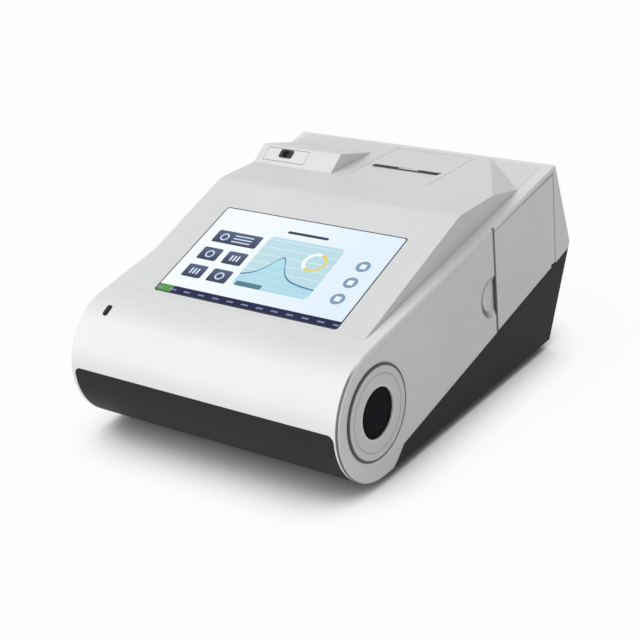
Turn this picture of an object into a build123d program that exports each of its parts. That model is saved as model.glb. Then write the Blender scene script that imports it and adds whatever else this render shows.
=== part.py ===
from build123d import *
import math
import os

os.makedirs("parts", exist_ok=True)

# All sizes in millimetres. X runs to the right, Y to the back, Z up.
# The origin lies on the table under the middle of the instrument.

# Housing
half_width = 118.0
wall = 3.0
overall_depth = 315.0
front_y = -overall_depth / 2
ridge_y = overall_depth / 2
foot_height = 5.5
roll_radius = 47.9
ridge_height = 74.7
ridge_to_rear_edge = 19.5
ridge_to_rear_foot = 37.0
rear_edge_height = 142.6
edge_chamfer = 1.2
parting_front_y = front_y + 66.9
parting_front_z = 17.3
parting_rear_drop = 3.5
end_foot_y = front_y + 57.5
end_join_y = front_y + 71.5
end_foot_round = 20.0
lip_fit = 0.15

# Raised screen platform
rail_width = 10.5
ledge_width = 4.0
ledge_depth = 9.0
rebate = 3.0
crease_y = front_y + 51.7
knee_from_front = 174.2
knee_y = front_y + knee_from_front
knee_z = 144.0
knee_round = 16.0
platform_rear_gap = 4.0
facet_front_y = ridge_y - 95.5
facet_low_y = ridge_y - 60.5
facet_inset = 46.0

# Screen
screen_x = 2.5
screen_border = 3.0
glass_width = 161.0
glass_height = 96.0
glass_thickness = 1.5
glass_corner = 2.5
display_width = 154.0
display_height = 88.0
display_thickness = 5.0
display_back_taper = 45

# Dark skirt round the front of the roll
skirt_left = 4.0 - half_width
skirt_right = half_width - 4.0
skirt_top = 58.0
skirt_thickness = 2.2
skirt_corner = 5.0

# Round roll ends
cap_y = front_y + 43.5
cap_z = 55.4
cap_radius = 33.8
cap_proud = 1.0
cap_thickness = 3.4
window_radius = 17.8
window_recess = 1.2
window_thickness = 2.0
scanner_radius = 15.0
scanner_depth = 16.0
scanner_width = 20.0
speaker_radius = 17.0
speaker_depth = 9.0
grille_slot = 1.6
grille_pitch = 3.6
grille_count = 9
grille_radius = 16.0

# Power key
key_x = 20.5 - half_width
key_angle = 28.5
key_length = 9.0
key_width = 4.2
key_proud = 0.8
key_flange = 1.6
key_flange_gap = 0.6
key_travel = 0.8
key_round = 0.4
key_gap = 0.25
switch_height = 2.4
key_board_thickness = 1.6

# Cartridge hood and test cartridge
hood_left = 11.0 - half_width
hood_to_lid = 14.0
hood_to_ridge = 100.0
hood_foot_y = ridge_y - hood_to_ridge
hood_crest_y = ridge_y - 84.0
hood_crest_z = 154.0
hood_tail_y = ridge_y - 45.5
hood_wall = 2.4
cartridge_x = 37.5 - half_width
cartridge_width = 39.0
cartridge_thickness = 9.0
cartridge_length = 50.0
cartridge_cover = 2.2
cartridge_gap = 0.3
port_width = 12.0
port_height = 7.6
port_depth = 3.0
port_proud = 0.7
port_bore = 1.7
port_taper = 22
port_x = cartridge_x - 0.5
port_to_crest = 7.4
guide_wall = 2.0
chip_width = 18.0
chip_length = 24.0
chip_thickness = 1.2
chip_to_tip = 6.0

# Printer
printer_to_side = 101.0
printer_x = half_width - printer_to_side
lid_width = 70.0
lid_gap = 0.4
lid_thickness = 2.4
bezel_front_y = ridge_y - 93.5
bezel_lap = 0.8
bezel_flange = 1.6
slot_front_y = ridge_y - 71.1
slot_width = 2.8
tear_pitch = 2.0
tear_depth = 1.2
tear_height = 4.0
tear_thickness = 0.8
notch_half_width = 10.0
lid_pin_radius = 1.0
lid_barrel_radius = 2.2
lid_pin_bite = 2.6
running_gap = 0.05
paper_width = 50.0
paper_radius = 18.0
core_radius = 6.5
core_bore = 4.5
paper_gap = 0.3
bucket_wall = 2.0
bucket_side_gap = 1.5
bucket_flange = 5.0
slot_to_bucket = 2.2
paper_to_lid = 2.0
lid_pin_to_rear = 2.7

# Printer drive
gear_module = 0.7
platen_teeth = 16
idler_teeth = 20
pinion_teeth = 10
gear_width = 4.0
gear_slack = 0.12
platen_radius = 5.0
platen_shaft_radius = 1.5
idler_post_radius = 1.2
motor_shaft_radius = 0.8
motor_radius = 7.5
motor_length = 13.0
platen_y = slot_front_y - 3.8
platen_drop = 9.6
idler_direction = -130.0
pinion_direction = -105.0
frame_thickness = 2.0
frame_side_gap = 1.0
frame_gear_gap = 2.0
head_gap = 0.2
head_thickness = 4.0
head_height = 12.0
head_fins = 6

# Calibrant door, bay and pack on the right side
seam_to_ridge = 115.0
seam_y = ridge_y - seam_to_ridge
door_hinge_y = ridge_y - 26.0
door_gap = 0.4
door_top_drop = 3.2
door_barrel_radius = 1.5
door_pin_radius = 0.8
door_pin_bite = 2.4
door_hinge_block = 5.5
scoop_z = 76.0
scoop_radius = 16.0
scoop_y = seam_y - 4.5
scoop_depth = 2.2
scoop_taper = 60
pack_width = 46.0
pack_depth = 68.0
pack_height = 46.0
pack_front_x = half_width - 8.0
pack_y = ridge_y - 69.5
bay_gap = 0.3
bay_wall = 2.0
bay_back_gap = 4.0
flange_lap = 4.0
septum_radius = 4.0
septum_proud = 0.8
magnet_size = 8.0
magnet_thickness = 2.5
magnet_z = 100.0
magnet_inset = 5.6

# Rear connector well
well_left = 30.0 - half_width
well_right = well_left + 84.0
well_bottom = 81.0
well_top = 113.0
well_floor_y = ridge_y - 19.5
well_wall = 2.0
port_fit = 0.1
lan_x = well_left + 16.0
usb_x = well_left + 40.0
inlet_x = well_left + 66.0
ports_z = 94.0
lan_size = (16.0, 13.4)
lan_cavity = (11.8, 7.2)
usb_size = (14.6, 15.6)
usb_cavity = (12.4, 4.8)
usb_pitch = 7.6
usb_tongue = 1.6
port_body_depth = 13.0
port_cavity_depth = 10.0
inlet_radius = 5.6
inlet_bore = 3.4
inlet_pin = 1.0

# Underside
foot_radius = 9.0
foot_x = half_width - 22.0
foot_front_y = front_y + 75.5
foot_rear_y = ridge_y - 59.5
post_x = half_width - 18.0
post_from_front = 107.5
post_front_y = front_y + post_from_front
post_rear_y = ridge_y - 87.5
post_size = 8.0
battery_x = -25.0
battery_y = 14.0
battery_size = (82.0, 58.0, 21.0)
battery_lip = 4.0
battery_cover_thickness = 1.6
vent_slots = 14
vent_pitch = 9.0
vent_width = 3.0
vent_length = 22.0

# Main board
board_size = (150.0, 128.0, 1.6)
board_x = 91.0 - half_width
board_from_front = 139.5
board_y = front_y + board_from_front
board_z = 34.0
standoff_size = 5.0
standoff_inset = 6.0

# Places worked out from the sizes above
roll_y = front_y + roll_radius
roll_z = foot_height + roll_radius
rear_edge_y = ridge_y - ridge_to_rear_edge
rear_foot_y = ridge_y - ridge_to_rear_foot
platform_half = half_width - rail_width
platform_rear_y = rear_edge_y - platform_rear_gap

rear_reach = math.hypot(rear_edge_y - roll_y, rear_edge_height - roll_z)
rail_angle = (
    math.atan2(rear_edge_height - roll_z, rear_edge_y - roll_y)
    + math.acos(roll_radius / rear_reach)
    - math.pi / 2
)
parting_slope = (ridge_height - parting_rear_drop - parting_front_z) / (ridge_y - parting_front_y)
deck_slope = (rear_edge_height - knee_z) / (rear_edge_y - knee_y)


def rail_height(y):
    """Height of the side rails, a straight line from the roll to the rear edge."""
    return rear_edge_height + (y - rear_edge_y) * math.tan(rail_angle)


def deck_height(y):
    """Height of the nearly level deck behind the screen."""
    return knee_z + (y - knee_y) * deck_slope


def deck_underside(y):
    """Height of the deck's underside."""
    return deck_height(y) - wall / math.cos(math.atan(deck_slope))


def parting_height(y):
    """Height of the line where the light housing meets the dark base."""
    return parting_front_z + (y - parting_front_y) * parting_slope


crease_z = rail_height(crease_y)
screen_angle = math.atan2(knee_z - crease_z, knee_y - crease_y)


def block(x, y, z, mode=Mode.ADD):
    """Add or cut a block that spans three ranges."""
    with Locations(((x[0] + x[1]) / 2, (y[0] + y[1]) / 2, (z[0] + z[1]) / 2)):
        Box(x[1] - x[0], y[1] - y[0], z[1] - z[0], mode=mode)


def body_outline(inset=0.0):
    """Side outline of the whole housing: the roll and three rear corners, pulled tight."""
    with BuildSketch(Plane.YZ) as outline:
        with Locations((roll_y, roll_z)):
            Circle(roll_radius)
        with BuildLine():
            Polyline(
                (rear_edge_y, rear_edge_height),
                (ridge_y, ridge_height),
                (rear_foot_y, foot_height),
            )
        make_hull()
        if inset:
            offset(amount=-inset, mode=Mode.REPLACE)
    return outline


def side_polygon(points):
    """A face in the side view from its corner points."""
    with BuildSketch(Plane.YZ) as face:
        Polygon(*points, align=None)
    return face


def parting_plane():
    """Slanted plane between the light housing and the dark base, facing up."""
    angle = math.atan(parting_slope)
    return Plane(
        origin=(0, parting_front_y, parting_front_z),
        x_dir=(1, 0, 0),
        z_dir=(0, -math.sin(angle), math.cos(angle)),
    )


def screen_plane(lift=0.0):
    """Plane on the sloped front of the platform, at the middle of the glass."""
    reach = screen_border + glass_height / 2
    normal = (0, -math.sin(screen_angle), math.cos(screen_angle))
    return Plane(
        origin=(
            screen_x,
            crease_y + reach * math.cos(screen_angle) + lift * normal[1],
            crease_z + reach * math.sin(screen_angle) + lift * normal[2],
        ),
        x_dir=(1, 0, 0),
        z_dir=normal,
    )


def key_plane(lift=0.0):
    """Plane on the roll's surface at the power key, facing out."""
    angle = math.radians(key_angle)
    reach = roll_radius + lift
    return Plane(
        origin=(key_x, roll_y - reach * math.sin(angle), roll_z + reach * math.cos(angle)),
        x_dir=(1, 0, 0),
        z_dir=(0, -math.sin(angle), math.cos(angle)),
    )


# Skirt region, shared by the housing, which gives way to it, and the base, which carries it
with BuildPart() as skirt:
    with BuildSketch(Plane.YZ.offset(skirt_left)):
        with Locations((roll_y, roll_z)):
            Circle(roll_radius)
            Circle(roll_radius - skirt_thickness, mode=Mode.SUBTRACT)
    extrude(amount=skirt_right - skirt_left)
    with BuildSketch(Plane.XZ.offset(-roll_y)):
        with Locations(((skirt_left + skirt_right) / 2, 0)):
            RectangleRounded(skirt_right - skirt_left, 2 * skirt_top, skirt_corner)
    extrude(amount=2 * roll_radius, mode=Mode.INTERSECT)

# Door outline in the side wall, with square ends at the hinge
door_front_y = seam_y + door_gap
door_block_y = door_hinge_y - door_hinge_block
door_hinge_bottom = parting_height(door_hinge_y + 2 * door_barrel_radius) + door_gap
door_hinge_top = rail_height(door_block_y) - door_top_drop - door_gap
door_opening_rear = door_hinge_y + door_barrel_radius + door_gap
door_corners = [
    (door_front_y, parting_height(door_front_y) + door_gap),
    (door_block_y, parting_height(door_block_y) + door_gap),
    (door_block_y, door_hinge_bottom),
    (door_hinge_y, door_hinge_bottom),
    (door_hinge_y, door_hinge_top),
    (door_front_y, rail_height(door_front_y) - door_top_drop - door_gap),
]
door_opening_corners = [
    (seam_y, parting_height(seam_y) - wall),
    (door_opening_rear, parting_height(door_opening_rear) - wall),
    (door_opening_rear, rail_height(door_opening_rear) - door_top_drop),
    (seam_y, rail_height(seam_y) - door_top_drop),
]
door_pin_x = half_width - door_barrel_radius

hood_right = printer_x - lid_width / 2 - hood_to_lid

# The calibrant pack's bay reaches up to the rail's underside at its front end
bay_front_y = pack_y - pack_depth / 2 - bay_gap - bay_wall
bay_top = rail_height(bay_front_y) - ledge_depth - lip_fit
pack_bottom = bay_top - bay_wall - bay_gap - pack_height

# Cartridge slot directions in the side view: it dips to the rear under the hood's roof
slot_angle = math.atan2(hood_crest_z - deck_height(hood_tail_y), hood_tail_y - hood_crest_y)
ramp_angle = math.atan2(hood_crest_z - deck_height(hood_foot_y), hood_crest_y - hood_foot_y)


def slot_point(along, down):
    """Point at a distance behind the crest and below the hood's roof, in the side view."""
    return (
        hood_crest_y + along * math.cos(slot_angle) - down * math.sin(slot_angle),
        hood_crest_z - along * math.sin(slot_angle) - down * math.cos(slot_angle),
    )


def ramp_plane(below_crest):
    """Plane on the hood's front ramp, at the cartridge's port, facing out."""
    return Plane(
        origin=(
            port_x,
            hood_crest_y - below_crest * math.cos(ramp_angle),
            hood_crest_z - below_crest * math.sin(ramp_angle),
        ),
        x_dir=(1, 0, 0),
        z_dir=(0, -math.sin(ramp_angle), math.cos(ramp_angle)),
    )


slot_roof = cartridge_cover - cartridge_gap
slot_floor = cartridge_cover + cartridge_thickness + cartridge_gap
cartridge_low = cartridge_cover + cartridge_thickness
ramp_per_depth = 1 / math.tan(slot_angle + ramp_angle)

# Ends of the roll, which reach below the parting line at both sides
with BuildPart() as roll_ends:
    extrude(body_outline().sketch, amount=half_width, both=True)
    chamfer(roll_ends.faces().filter_by(Axis.X).edges(), edge_chamfer)
    with BuildSketch(Plane.YZ) as end_outline:
        Polygon(
            (front_y - wall, foot_height),
            (end_foot_y, foot_height),
            (end_join_y, parting_height(end_join_y)),
            (front_y - wall, parting_height(front_y - wall) + wall),
            align=None,
        )
        fillet(end_outline.vertices().sort_by_distance((0, end_foot_y, foot_height))[0], end_foot_round)
    extrude(end_outline.sketch, amount=half_width, both=True, mode=Mode.INTERSECT)
    block((skirt_left, skirt_right), (front_y, ridge_y), (0, ridge_height), Mode.SUBTRACT)

# Light upper housing: roll, side walls, rails and rear
with BuildPart() as upper_housing:
    extrude(body_outline().sketch, amount=half_width, both=True)
    outer_edges = upper_housing.faces().filter_by(Axis.X).edges()
    chamfer(outer_edges, edge_chamfer)
    # Hollow inside, with a deep rail along each side that carries the platform
    with BuildSketch(Plane.YZ) as hollow:
        add(body_outline(wall).sketch_local)
        add(
            side_polygon(
                [
                    (crease_y - ledge_depth, rail_height(crease_y - ledge_depth) - ledge_depth),
                    (ridge_y, rail_height(ridge_y) - ledge_depth),
                    (ridge_y, rail_height(ridge_y) + ledge_depth),
                    (crease_y - ledge_depth, rail_height(crease_y - ledge_depth) + ledge_depth),
                ]
            ).sketch_local,
            mode=Mode.SUBTRACT,
        )
    extrude(hollow.sketch, amount=half_width - wall, both=True, mode=Mode.SUBTRACT)
    opening_half = platform_half - ledge_width
    extrude(
        side_polygon(
            [
                (crease_y + ledge_width, rail_height(crease_y) - 2 * ledge_depth),
                (platform_rear_y - ledge_width, rail_height(crease_y) - 2 * ledge_depth),
                (platform_rear_y - ledge_width, rail_height(ridge_y) + ledge_depth),
                (crease_y + ledge_width, rail_height(ridge_y) + ledge_depth),
            ]
        ).sketch,
        amount=opening_half,
        both=True,
        mode=Mode.SUBTRACT,
    )
    extrude(
        side_polygon(
            [
                (crease_y, rail_height(crease_y) - rebate),
                (platform_rear_y, rail_height(platform_rear_y) - rebate),
                (platform_rear_y, rail_height(platform_rear_y) + rebate),
                (crease_y, rail_height(crease_y) + rebate),
            ]
        ).sketch,
        amount=platform_half,
        both=True,
        mode=Mode.SUBTRACT,
    )
    split(bisect_by=parting_plane(), keep=Keep.TOP)
    add(skirt.part, mode=Mode.SUBTRACT)
    add(roll_ends.part)
    # Seats for the two round roll ends
    for side in (-1, 1):
        with BuildSketch(Plane.YZ.offset(side * half_width)):
            with Locations((cap_y, cap_z)):
                Circle(cap_radius + lip_fit)
        extrude(amount=-side * (cap_thickness - cap_proud), mode=Mode.SUBTRACT)
        with BuildSketch(Plane.YZ.offset(side * half_width)):
            with Locations((cap_y, cap_z)):
                Circle(cap_radius - ledge_width)
        extrude(amount=-side * 2 * wall, mode=Mode.SUBTRACT)
    # Door opening and the finger scoop in front of its free edge
    with BuildSketch(Plane.YZ.offset(half_width)):
        Polygon(*door_opening_corners, align=None)
    extrude(amount=-wall, mode=Mode.SUBTRACT)
    with BuildSketch(Plane.YZ.offset(half_width)):
        with Locations((scoop_y, scoop_z)):
            Circle(scoop_radius)
    extrude(amount=-scoop_depth, taper=scoop_taper, mode=Mode.SUBTRACT)
    # Upper seat of the door's hinge pin
    door_pin_top = rail_height(door_hinge_y) - door_top_drop + door_pin_bite - wall / 4
    with BuildSketch(Plane.XY.offset(door_pin_top)):
        with Locations((door_pin_x, door_hinge_y)):
            Circle(door_pin_radius + running_gap)
    extrude(amount=-2 * wall, mode=Mode.SUBTRACT)
    # Power key hole and the two posts that carry its switch board
    with BuildSketch(key_plane(1.0)):
        SlotOverall(key_length + 2 * key_gap, key_width + 2 * key_gap, rotation=90)
    extrude(amount=-2 * wall, mode=Mode.SUBTRACT)
    post_end = wall + key_flange_gap + key_flange + key_travel + switch_height
    with BuildSketch(key_plane(-wall / 2)):
        with GridLocations(2 * key_length, 0, 2, 1):
            Circle(key_width / 2)
    extrude(amount=wall / 2 - post_end)
    # Opening for the rear connector well
    block(
        (well_left - lip_fit, well_right + lip_fit),
        (well_floor_y, ridge_y),
        (well_bottom - lip_fit, well_top + lip_fit),
        Mode.SUBTRACT,
    )
upper_housing.part.label = "upper_housing"
export_step(upper_housing.part, "parts/upper_housing.step")

# Dark base: floor, low side walls, rear undercut and the skirt
battery_hole = (battery_size[0] + 2 * lip_fit, battery_size[1] + 2 * lip_fit)
battery_cover_size = (battery_hole[0] + 2 * battery_lip, battery_hole[1] + 2 * battery_lip)
with BuildPart() as base_tray:
    extrude(body_outline().sketch, amount=half_width, both=True)
    chamfer(base_tray.faces().filter_by(Axis.X).edges(), edge_chamfer)
    extrude(body_outline(wall).sketch, amount=half_width - wall, both=True, mode=Mode.SUBTRACT)
    split(bisect_by=parting_plane(), keep=Keep.BOTTOM)
    add(roll_ends.part, mode=Mode.SUBTRACT)
    add(skirt.part)
    # Closing posts and board standoffs on the floor
    with BuildSketch(Plane.XY.offset(foot_height)):
        for x in (-post_x, post_x):
            with Locations((x, post_front_y), (x, post_rear_y)):
                Rectangle(post_size, post_size)
    extrude(amount=parting_height(post_front_y) - foot_height)
    with BuildSketch(Plane.XY.offset(foot_height)):
        with Locations((board_x, board_y)):
            with GridLocations(
                board_size[0] - 2 * standoff_inset, board_size[1] - 2 * standoff_inset, 2, 2
            ):
                Rectangle(standoff_size, standoff_size)
    extrude(amount=board_z - foot_height)
    # Battery opening with a rebate for its cover
    with BuildSketch(Plane.XY.offset(foot_height)):
        with Locations((battery_x, battery_y)):
            RectangleRounded(
                battery_cover_size[0] + 2 * lip_fit, battery_cover_size[1] + 2 * lip_fit, battery_lip
            )
    extrude(amount=battery_cover_thickness, mode=Mode.SUBTRACT)
    with BuildSketch(Plane.XY.offset(foot_height)):
        with Locations((battery_x, battery_y)):
            Rectangle(*battery_hole)
    extrude(amount=wall + lip_fit, mode=Mode.SUBTRACT)
    # Vents in the rear undercut
    undercut = Plane(
        origin=(0, (ridge_y + rear_foot_y) / 2, (ridge_height + foot_height) / 2),
        x_dir=(1, 0, 0),
        z_dir=(0, ridge_height - foot_height, rear_foot_y - ridge_y),
    )
    with BuildSketch(undercut):
        with GridLocations(vent_pitch, 0, vent_slots, 1):
            Rectangle(vent_width, vent_length)
    extrude(amount=-2 * wall, mode=Mode.SUBTRACT)
    # Lower seat of the door's hinge pin
    door_pin_bottom = parting_height(door_hinge_y) - door_pin_bite
    with BuildSketch(Plane.XY.offset(door_pin_bottom)):
        with Locations((door_pin_x, door_hinge_y)):
            Circle(door_pin_radius + running_gap)
    extrude(amount=2 * wall, mode=Mode.SUBTRACT)
base_tray.part.label = "base_tray"
export_step(base_tray.part, "parts/base_tray.step")

# Raised platform that frames the screen and carries the deck
lid_pin_y = platform_rear_y - lid_pin_to_rear - lid_barrel_radius - lid_gap
lid_front_y = slot_front_y + slot_width
printer_opening_rear = lid_pin_y + lid_barrel_radius + lid_gap
printer_left = printer_x - lid_width / 2
printer_right = printer_x + lid_width / 2
lid_pin_z = deck_height(lid_pin_y) - lid_barrel_radius
platform_side = platform_half - lip_fit


def deck_facet(inset=0.0):
    """Plane of the deck's right rear corner, which falls away to meet the rail, facing up."""
    high = Vector(platform_half, facet_front_y, deck_height(facet_front_y))
    low = Vector(platform_half, facet_low_y, rail_height(facet_low_y))
    back = Vector(platform_half - facet_inset, rear_edge_y, rear_edge_height)
    return Plane(origin=high, z_dir=(low - high).cross(back - high)).offset(-inset)


# Space under the platform, with the same falling corner one wall further in
with BuildPart() as platform_space:
    with BuildSketch(Plane.YZ.offset(wall - platform_side)) as space_outline:
        with BuildLine():
            Polyline(
                (crease_y - ledge_depth, crease_z - ledge_depth - rebate),
                (crease_y - ledge_depth, crease_z),
                (crease_y, crease_z),
                (knee_y, knee_z),
                (rear_edge_y, rear_edge_height),
                (rear_edge_y, rear_edge_height - ledge_depth),
                close=True,
            )
        make_face()
        fillet(space_outline.vertices().sort_by(Axis.Y)[-1], knee_round)
        offset(amount=-wall, mode=Mode.REPLACE)
        add(
            side_polygon(
                [
                    (crease_y + ledge_width, 0),
                    (platform_rear_y - ledge_width, 0),
                    (platform_rear_y - ledge_width, 2 * knee_z),
                    (crease_y + ledge_width, 2 * knee_z),
                ]
            ).sketch_local,
            mode=Mode.INTERSECT,
        )
    extrude(amount=2 * (platform_side - wall))
    split(bisect_by=deck_facet(wall), keep=Keep.BOTTOM)

with BuildPart() as display_platform:
    with BuildSketch(Plane.YZ.offset(-platform_side)) as platform_outline:
        with BuildLine():
            Polyline(
                (crease_y + lip_fit, rail_height(crease_y + lip_fit) - rebate),
                (crease_y + lip_fit, crease_z),
                (knee_y, knee_z),
                (platform_rear_y - lip_fit, deck_height(platform_rear_y - lip_fit)),
                (platform_rear_y - lip_fit, rail_height(platform_rear_y - lip_fit) - rebate),
                close=True,
            )
        make_face()
        fillet(platform_outline.vertices().sort_by(Axis.Y)[-1], knee_round)
    extrude(amount=2 * platform_side)
    split(bisect_by=deck_facet(), keep=Keep.BOTTOM)
    # Behind the falling corner the platform goes on level with the rail
    extrude(
        side_polygon(
            [
                (facet_low_y, rail_height(facet_low_y) - rebate),
                (platform_rear_y - lip_fit, rail_height(platform_rear_y - lip_fit) - rebate),
                (platform_rear_y - lip_fit, rail_height(platform_rear_y - lip_fit)),
                (facet_low_y, rail_height(facet_low_y)),
            ]
        ).sketch,
        amount=platform_side,
        both=True,
    )
    add(platform_space.part, mode=Mode.SUBTRACT)
    # Recess for the glass and the window behind it
    with BuildSketch(screen_plane()):
        RectangleRounded(glass_width + 2 * lip_fit, glass_height + 2 * lip_fit, glass_corner)
    extrude(amount=-glass_thickness, mode=Mode.SUBTRACT)
    with BuildSketch(screen_plane()):
        Rectangle(display_width + 2 * lip_fit, display_height + 2 * lip_fit)
    extrude(amount=-4 * wall, mode=Mode.SUBTRACT)
    # Slot for the test cartridge
    with BuildSketch(Plane.YZ.offset(cartridge_x)):
        Polygon(
            slot_point(-2 * cartridge_thickness, slot_roof),
            slot_point(cartridge_length + cartridge_gap, slot_roof),
            slot_point(cartridge_length + cartridge_gap, slot_floor),
            slot_point(-2 * cartridge_thickness, slot_floor),
            align=None,
        )
    extrude(amount=cartridge_width / 2 + cartridge_gap, both=True, mode=Mode.SUBTRACT)
    # Opening for the printer, with blind holes for the lid's pin
    block(
        (printer_left - lid_gap, printer_right + lid_gap),
        (bezel_front_y, printer_opening_rear),
        (knee_z - 4 * wall, knee_z + wall),
        Mode.SUBTRACT,
    )
    with BuildSketch(Plane.YZ.offset(printer_left - lid_gap - lid_pin_bite)):
        with Locations((lid_pin_y, lid_pin_z)):
            Circle(lid_pin_radius + running_gap)
    extrude(amount=lid_width + 2 * (lid_gap + lid_pin_bite), mode=Mode.SUBTRACT)
display_platform.part.label = "display_platform"
export_step(display_platform.part, "parts/display_platform.step")

# Screen: cover glass and the display behind it
with BuildPart() as touch_glass:
    with BuildSketch(screen_plane(-glass_thickness)):
        RectangleRounded(glass_width, glass_height, glass_corner)
    extrude(amount=glass_thickness)
touch_glass.part.label = "touch_glass"
export_step(touch_glass.part, "parts/touch_glass.step")

with BuildPart() as display_panel:
    with BuildSketch(screen_plane(-glass_thickness)):
        Rectangle(display_width, display_height)
    extrude(amount=-display_thickness)
    with BuildSketch(screen_plane(-glass_thickness - display_thickness)):
        Rectangle(display_width - 2 * wall, display_height - 2 * wall)
    extrude(amount=-wall, taper=display_back_taper)
display_panel.part.label = "display_panel"
export_step(display_panel.part, "parts/display_panel.step")

# Round roll ends: a bezel with a dark window on the right, a grille on the left
cap_outer_x = half_width + cap_proud
cap_inner_x = cap_outer_x - cap_thickness
boss_depth = wall + cap_proud
window_front_x = cap_outer_x - window_recess
window_back_x = window_front_x - window_thickness
with BuildPart() as scanner_bezel:
    with BuildSketch(Plane.YZ.offset(cap_inner_x)):
        with Locations((cap_y, cap_z)):
            Circle(cap_radius)
    extrude(amount=cap_thickness)
    with BuildSketch(Plane.YZ.offset(cap_inner_x)):
        with Locations((cap_y, cap_z)):
            Circle(cap_radius - ledge_width - lip_fit)
    extrude(amount=-boss_depth)
    chamfer(scanner_bezel.faces().sort_by(Axis.X)[-1].edges(), cap_proud / 2)
    with BuildSketch(Plane.YZ.offset(cap_outer_x)):
        with Locations((cap_y, cap_z)):
            Circle(window_radius + lip_fit)
    extrude(amount=window_back_x - cap_outer_x, mode=Mode.SUBTRACT)
    with BuildSketch(Plane.YZ.offset(cap_outer_x)):
        with Locations((cap_y, cap_z)):
            Circle(scanner_radius + lip_fit)
    extrude(amount=-cap_thickness - boss_depth, mode=Mode.SUBTRACT)
scanner_bezel.part.label = "scanner_bezel"
export_step(scanner_bezel.part, "parts/scanner_bezel.step")

with BuildPart() as scanner_window:
    with BuildSketch(Plane.YZ.offset(window_back_x)):
        with Locations((cap_y, cap_z)):
            Circle(window_radius)
    extrude(amount=window_thickness)
scanner_window.part.label = "scanner_window"
export_step(scanner_window.part, "parts/scanner_window.step")

with BuildPart() as scanner_module:
    with BuildSketch(Plane.YZ.offset(window_back_x)):
        with Locations((cap_y, cap_z)):
            Rectangle(scanner_width, scanner_width)
    extrude(amount=-scanner_depth)
    with BuildSketch(Plane.YZ.offset(window_back_x - scanner_depth)):
        with Locations((cap_y, cap_z)):
            Rectangle(2 * scanner_radius, 2 * scanner_radius)
    extrude(amount=-board_size[2])
scanner_module.part.label = "scanner_module"
export_step(scanner_module.part, "parts/scanner_module.step")

with BuildPart() as left_end_cap:
    with BuildSketch(Plane.YZ.offset(-cap_inner_x)):
        with Locations((cap_y, cap_z)):
            Circle(cap_radius)
    extrude(amount=-cap_thickness)
    chamfer(left_end_cap.faces().sort_by(Axis.X)[0].edges(), cap_proud / 2)
    with BuildSketch(Plane.YZ.offset(-cap_outer_x)):
        with Locations((cap_y, cap_z)):
            with GridLocations(0, grille_pitch, 1, grille_count):
                Rectangle(2 * grille_radius, grille_slot)
            Circle(grille_radius, mode=Mode.INTERSECT)
    extrude(amount=cap_thickness, mode=Mode.SUBTRACT)
left_end_cap.part.label = "left_end_cap"
export_step(left_end_cap.part, "parts/left_end_cap.step")

with BuildPart() as speaker:
    with BuildSketch(Plane.YZ.offset(-cap_inner_x)):
        with Locations((cap_y, cap_z)):
            Rectangle(2 * speaker_radius, 2 * speaker_radius)
    extrude(amount=speaker_depth / 2)
    with BuildSketch(Plane.YZ.offset(-cap_inner_x + speaker_depth / 2)):
        with Locations((cap_y, cap_z)):
            Circle(speaker_radius / 2)
    extrude(amount=speaker_depth / 2)
speaker.part.label = "speaker"
export_step(speaker.part, "parts/speaker.step")

# Power key and its switch board inside the roll
with BuildPart() as power_key:
    with BuildSketch(key_plane(key_proud)):
        SlotOverall(key_length, key_width, rotation=90)
    extrude(amount=-key_proud - wall - key_flange_gap)
    chamfer(power_key.faces().sort_by(Axis(key_plane().origin, key_plane().z_dir))[-1].edges(), key_round)
    with BuildSketch(key_plane(-wall - key_flange_gap)):
        Rectangle(key_width + 2 * key_flange, key_length + 2 * key_flange)
    extrude(amount=-key_flange)
power_key.part.label = "power_key"
export_step(power_key.part, "parts/power_key.step")

with BuildPart() as key_board:
    with BuildSketch(key_plane(-post_end)):
        Rectangle(2 * key_length + 2 * key_width, key_length + 2 * key_flange)
    extrude(amount=-key_board_thickness)
    with BuildSketch(key_plane(-post_end)):
        Rectangle(key_width, key_width)
    extrude(amount=switch_height - 2 * running_gap)
key_board.part.label = "key_board"
export_step(key_board.part, "parts/key_board.step")

# Cartridge hood on the deck, open at its ramp for the test cartridge
with BuildPart() as cartridge_hood:
    with BuildSketch(Plane.YZ.offset(hood_left)):
        Polygon(
            (hood_foot_y, deck_height(hood_foot_y)),
            (hood_tail_y, deck_height(hood_tail_y)),
            (hood_crest_y, hood_crest_z),
            align=None,
        )
    extrude(amount=hood_right - hood_left)
    crest = cartridge_hood.edges().filter_by(Axis.X).sort_by(Axis.Z)[-1]
    fillet(crest, hood_wall)
    # Hollow beside the slot
    with BuildSketch(Plane.YZ.offset(cartridge_x + cartridge_width / 2 + cartridge_gap + hood_wall)):
        Polygon(
            (hood_foot_y, deck_height(hood_foot_y)),
            (hood_tail_y, deck_height(hood_tail_y)),
            (hood_crest_y, hood_crest_z),
            align=None,
        )
        offset(amount=-hood_wall, mode=Mode.REPLACE)
    extrude(
        amount=hood_right - hood_wall - (cartridge_x + cartridge_width / 2 + cartridge_gap + hood_wall),
        mode=Mode.SUBTRACT,
    )
    with BuildSketch(Plane.YZ.offset(cartridge_x)):
        Polygon(
            slot_point(-2 * cartridge_thickness, slot_roof),
            slot_point(cartridge_length, slot_roof),
            slot_point(cartridge_length, slot_floor),
            slot_point(-2 * cartridge_thickness, slot_floor),
            align=None,
        )
    extrude(amount=cartridge_width / 2 + cartridge_gap, both=True, mode=Mode.SUBTRACT)
cartridge_hood.part.label = "cartridge_hood"
export_step(cartridge_hood.part, "parts/cartridge_hood.step")

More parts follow.
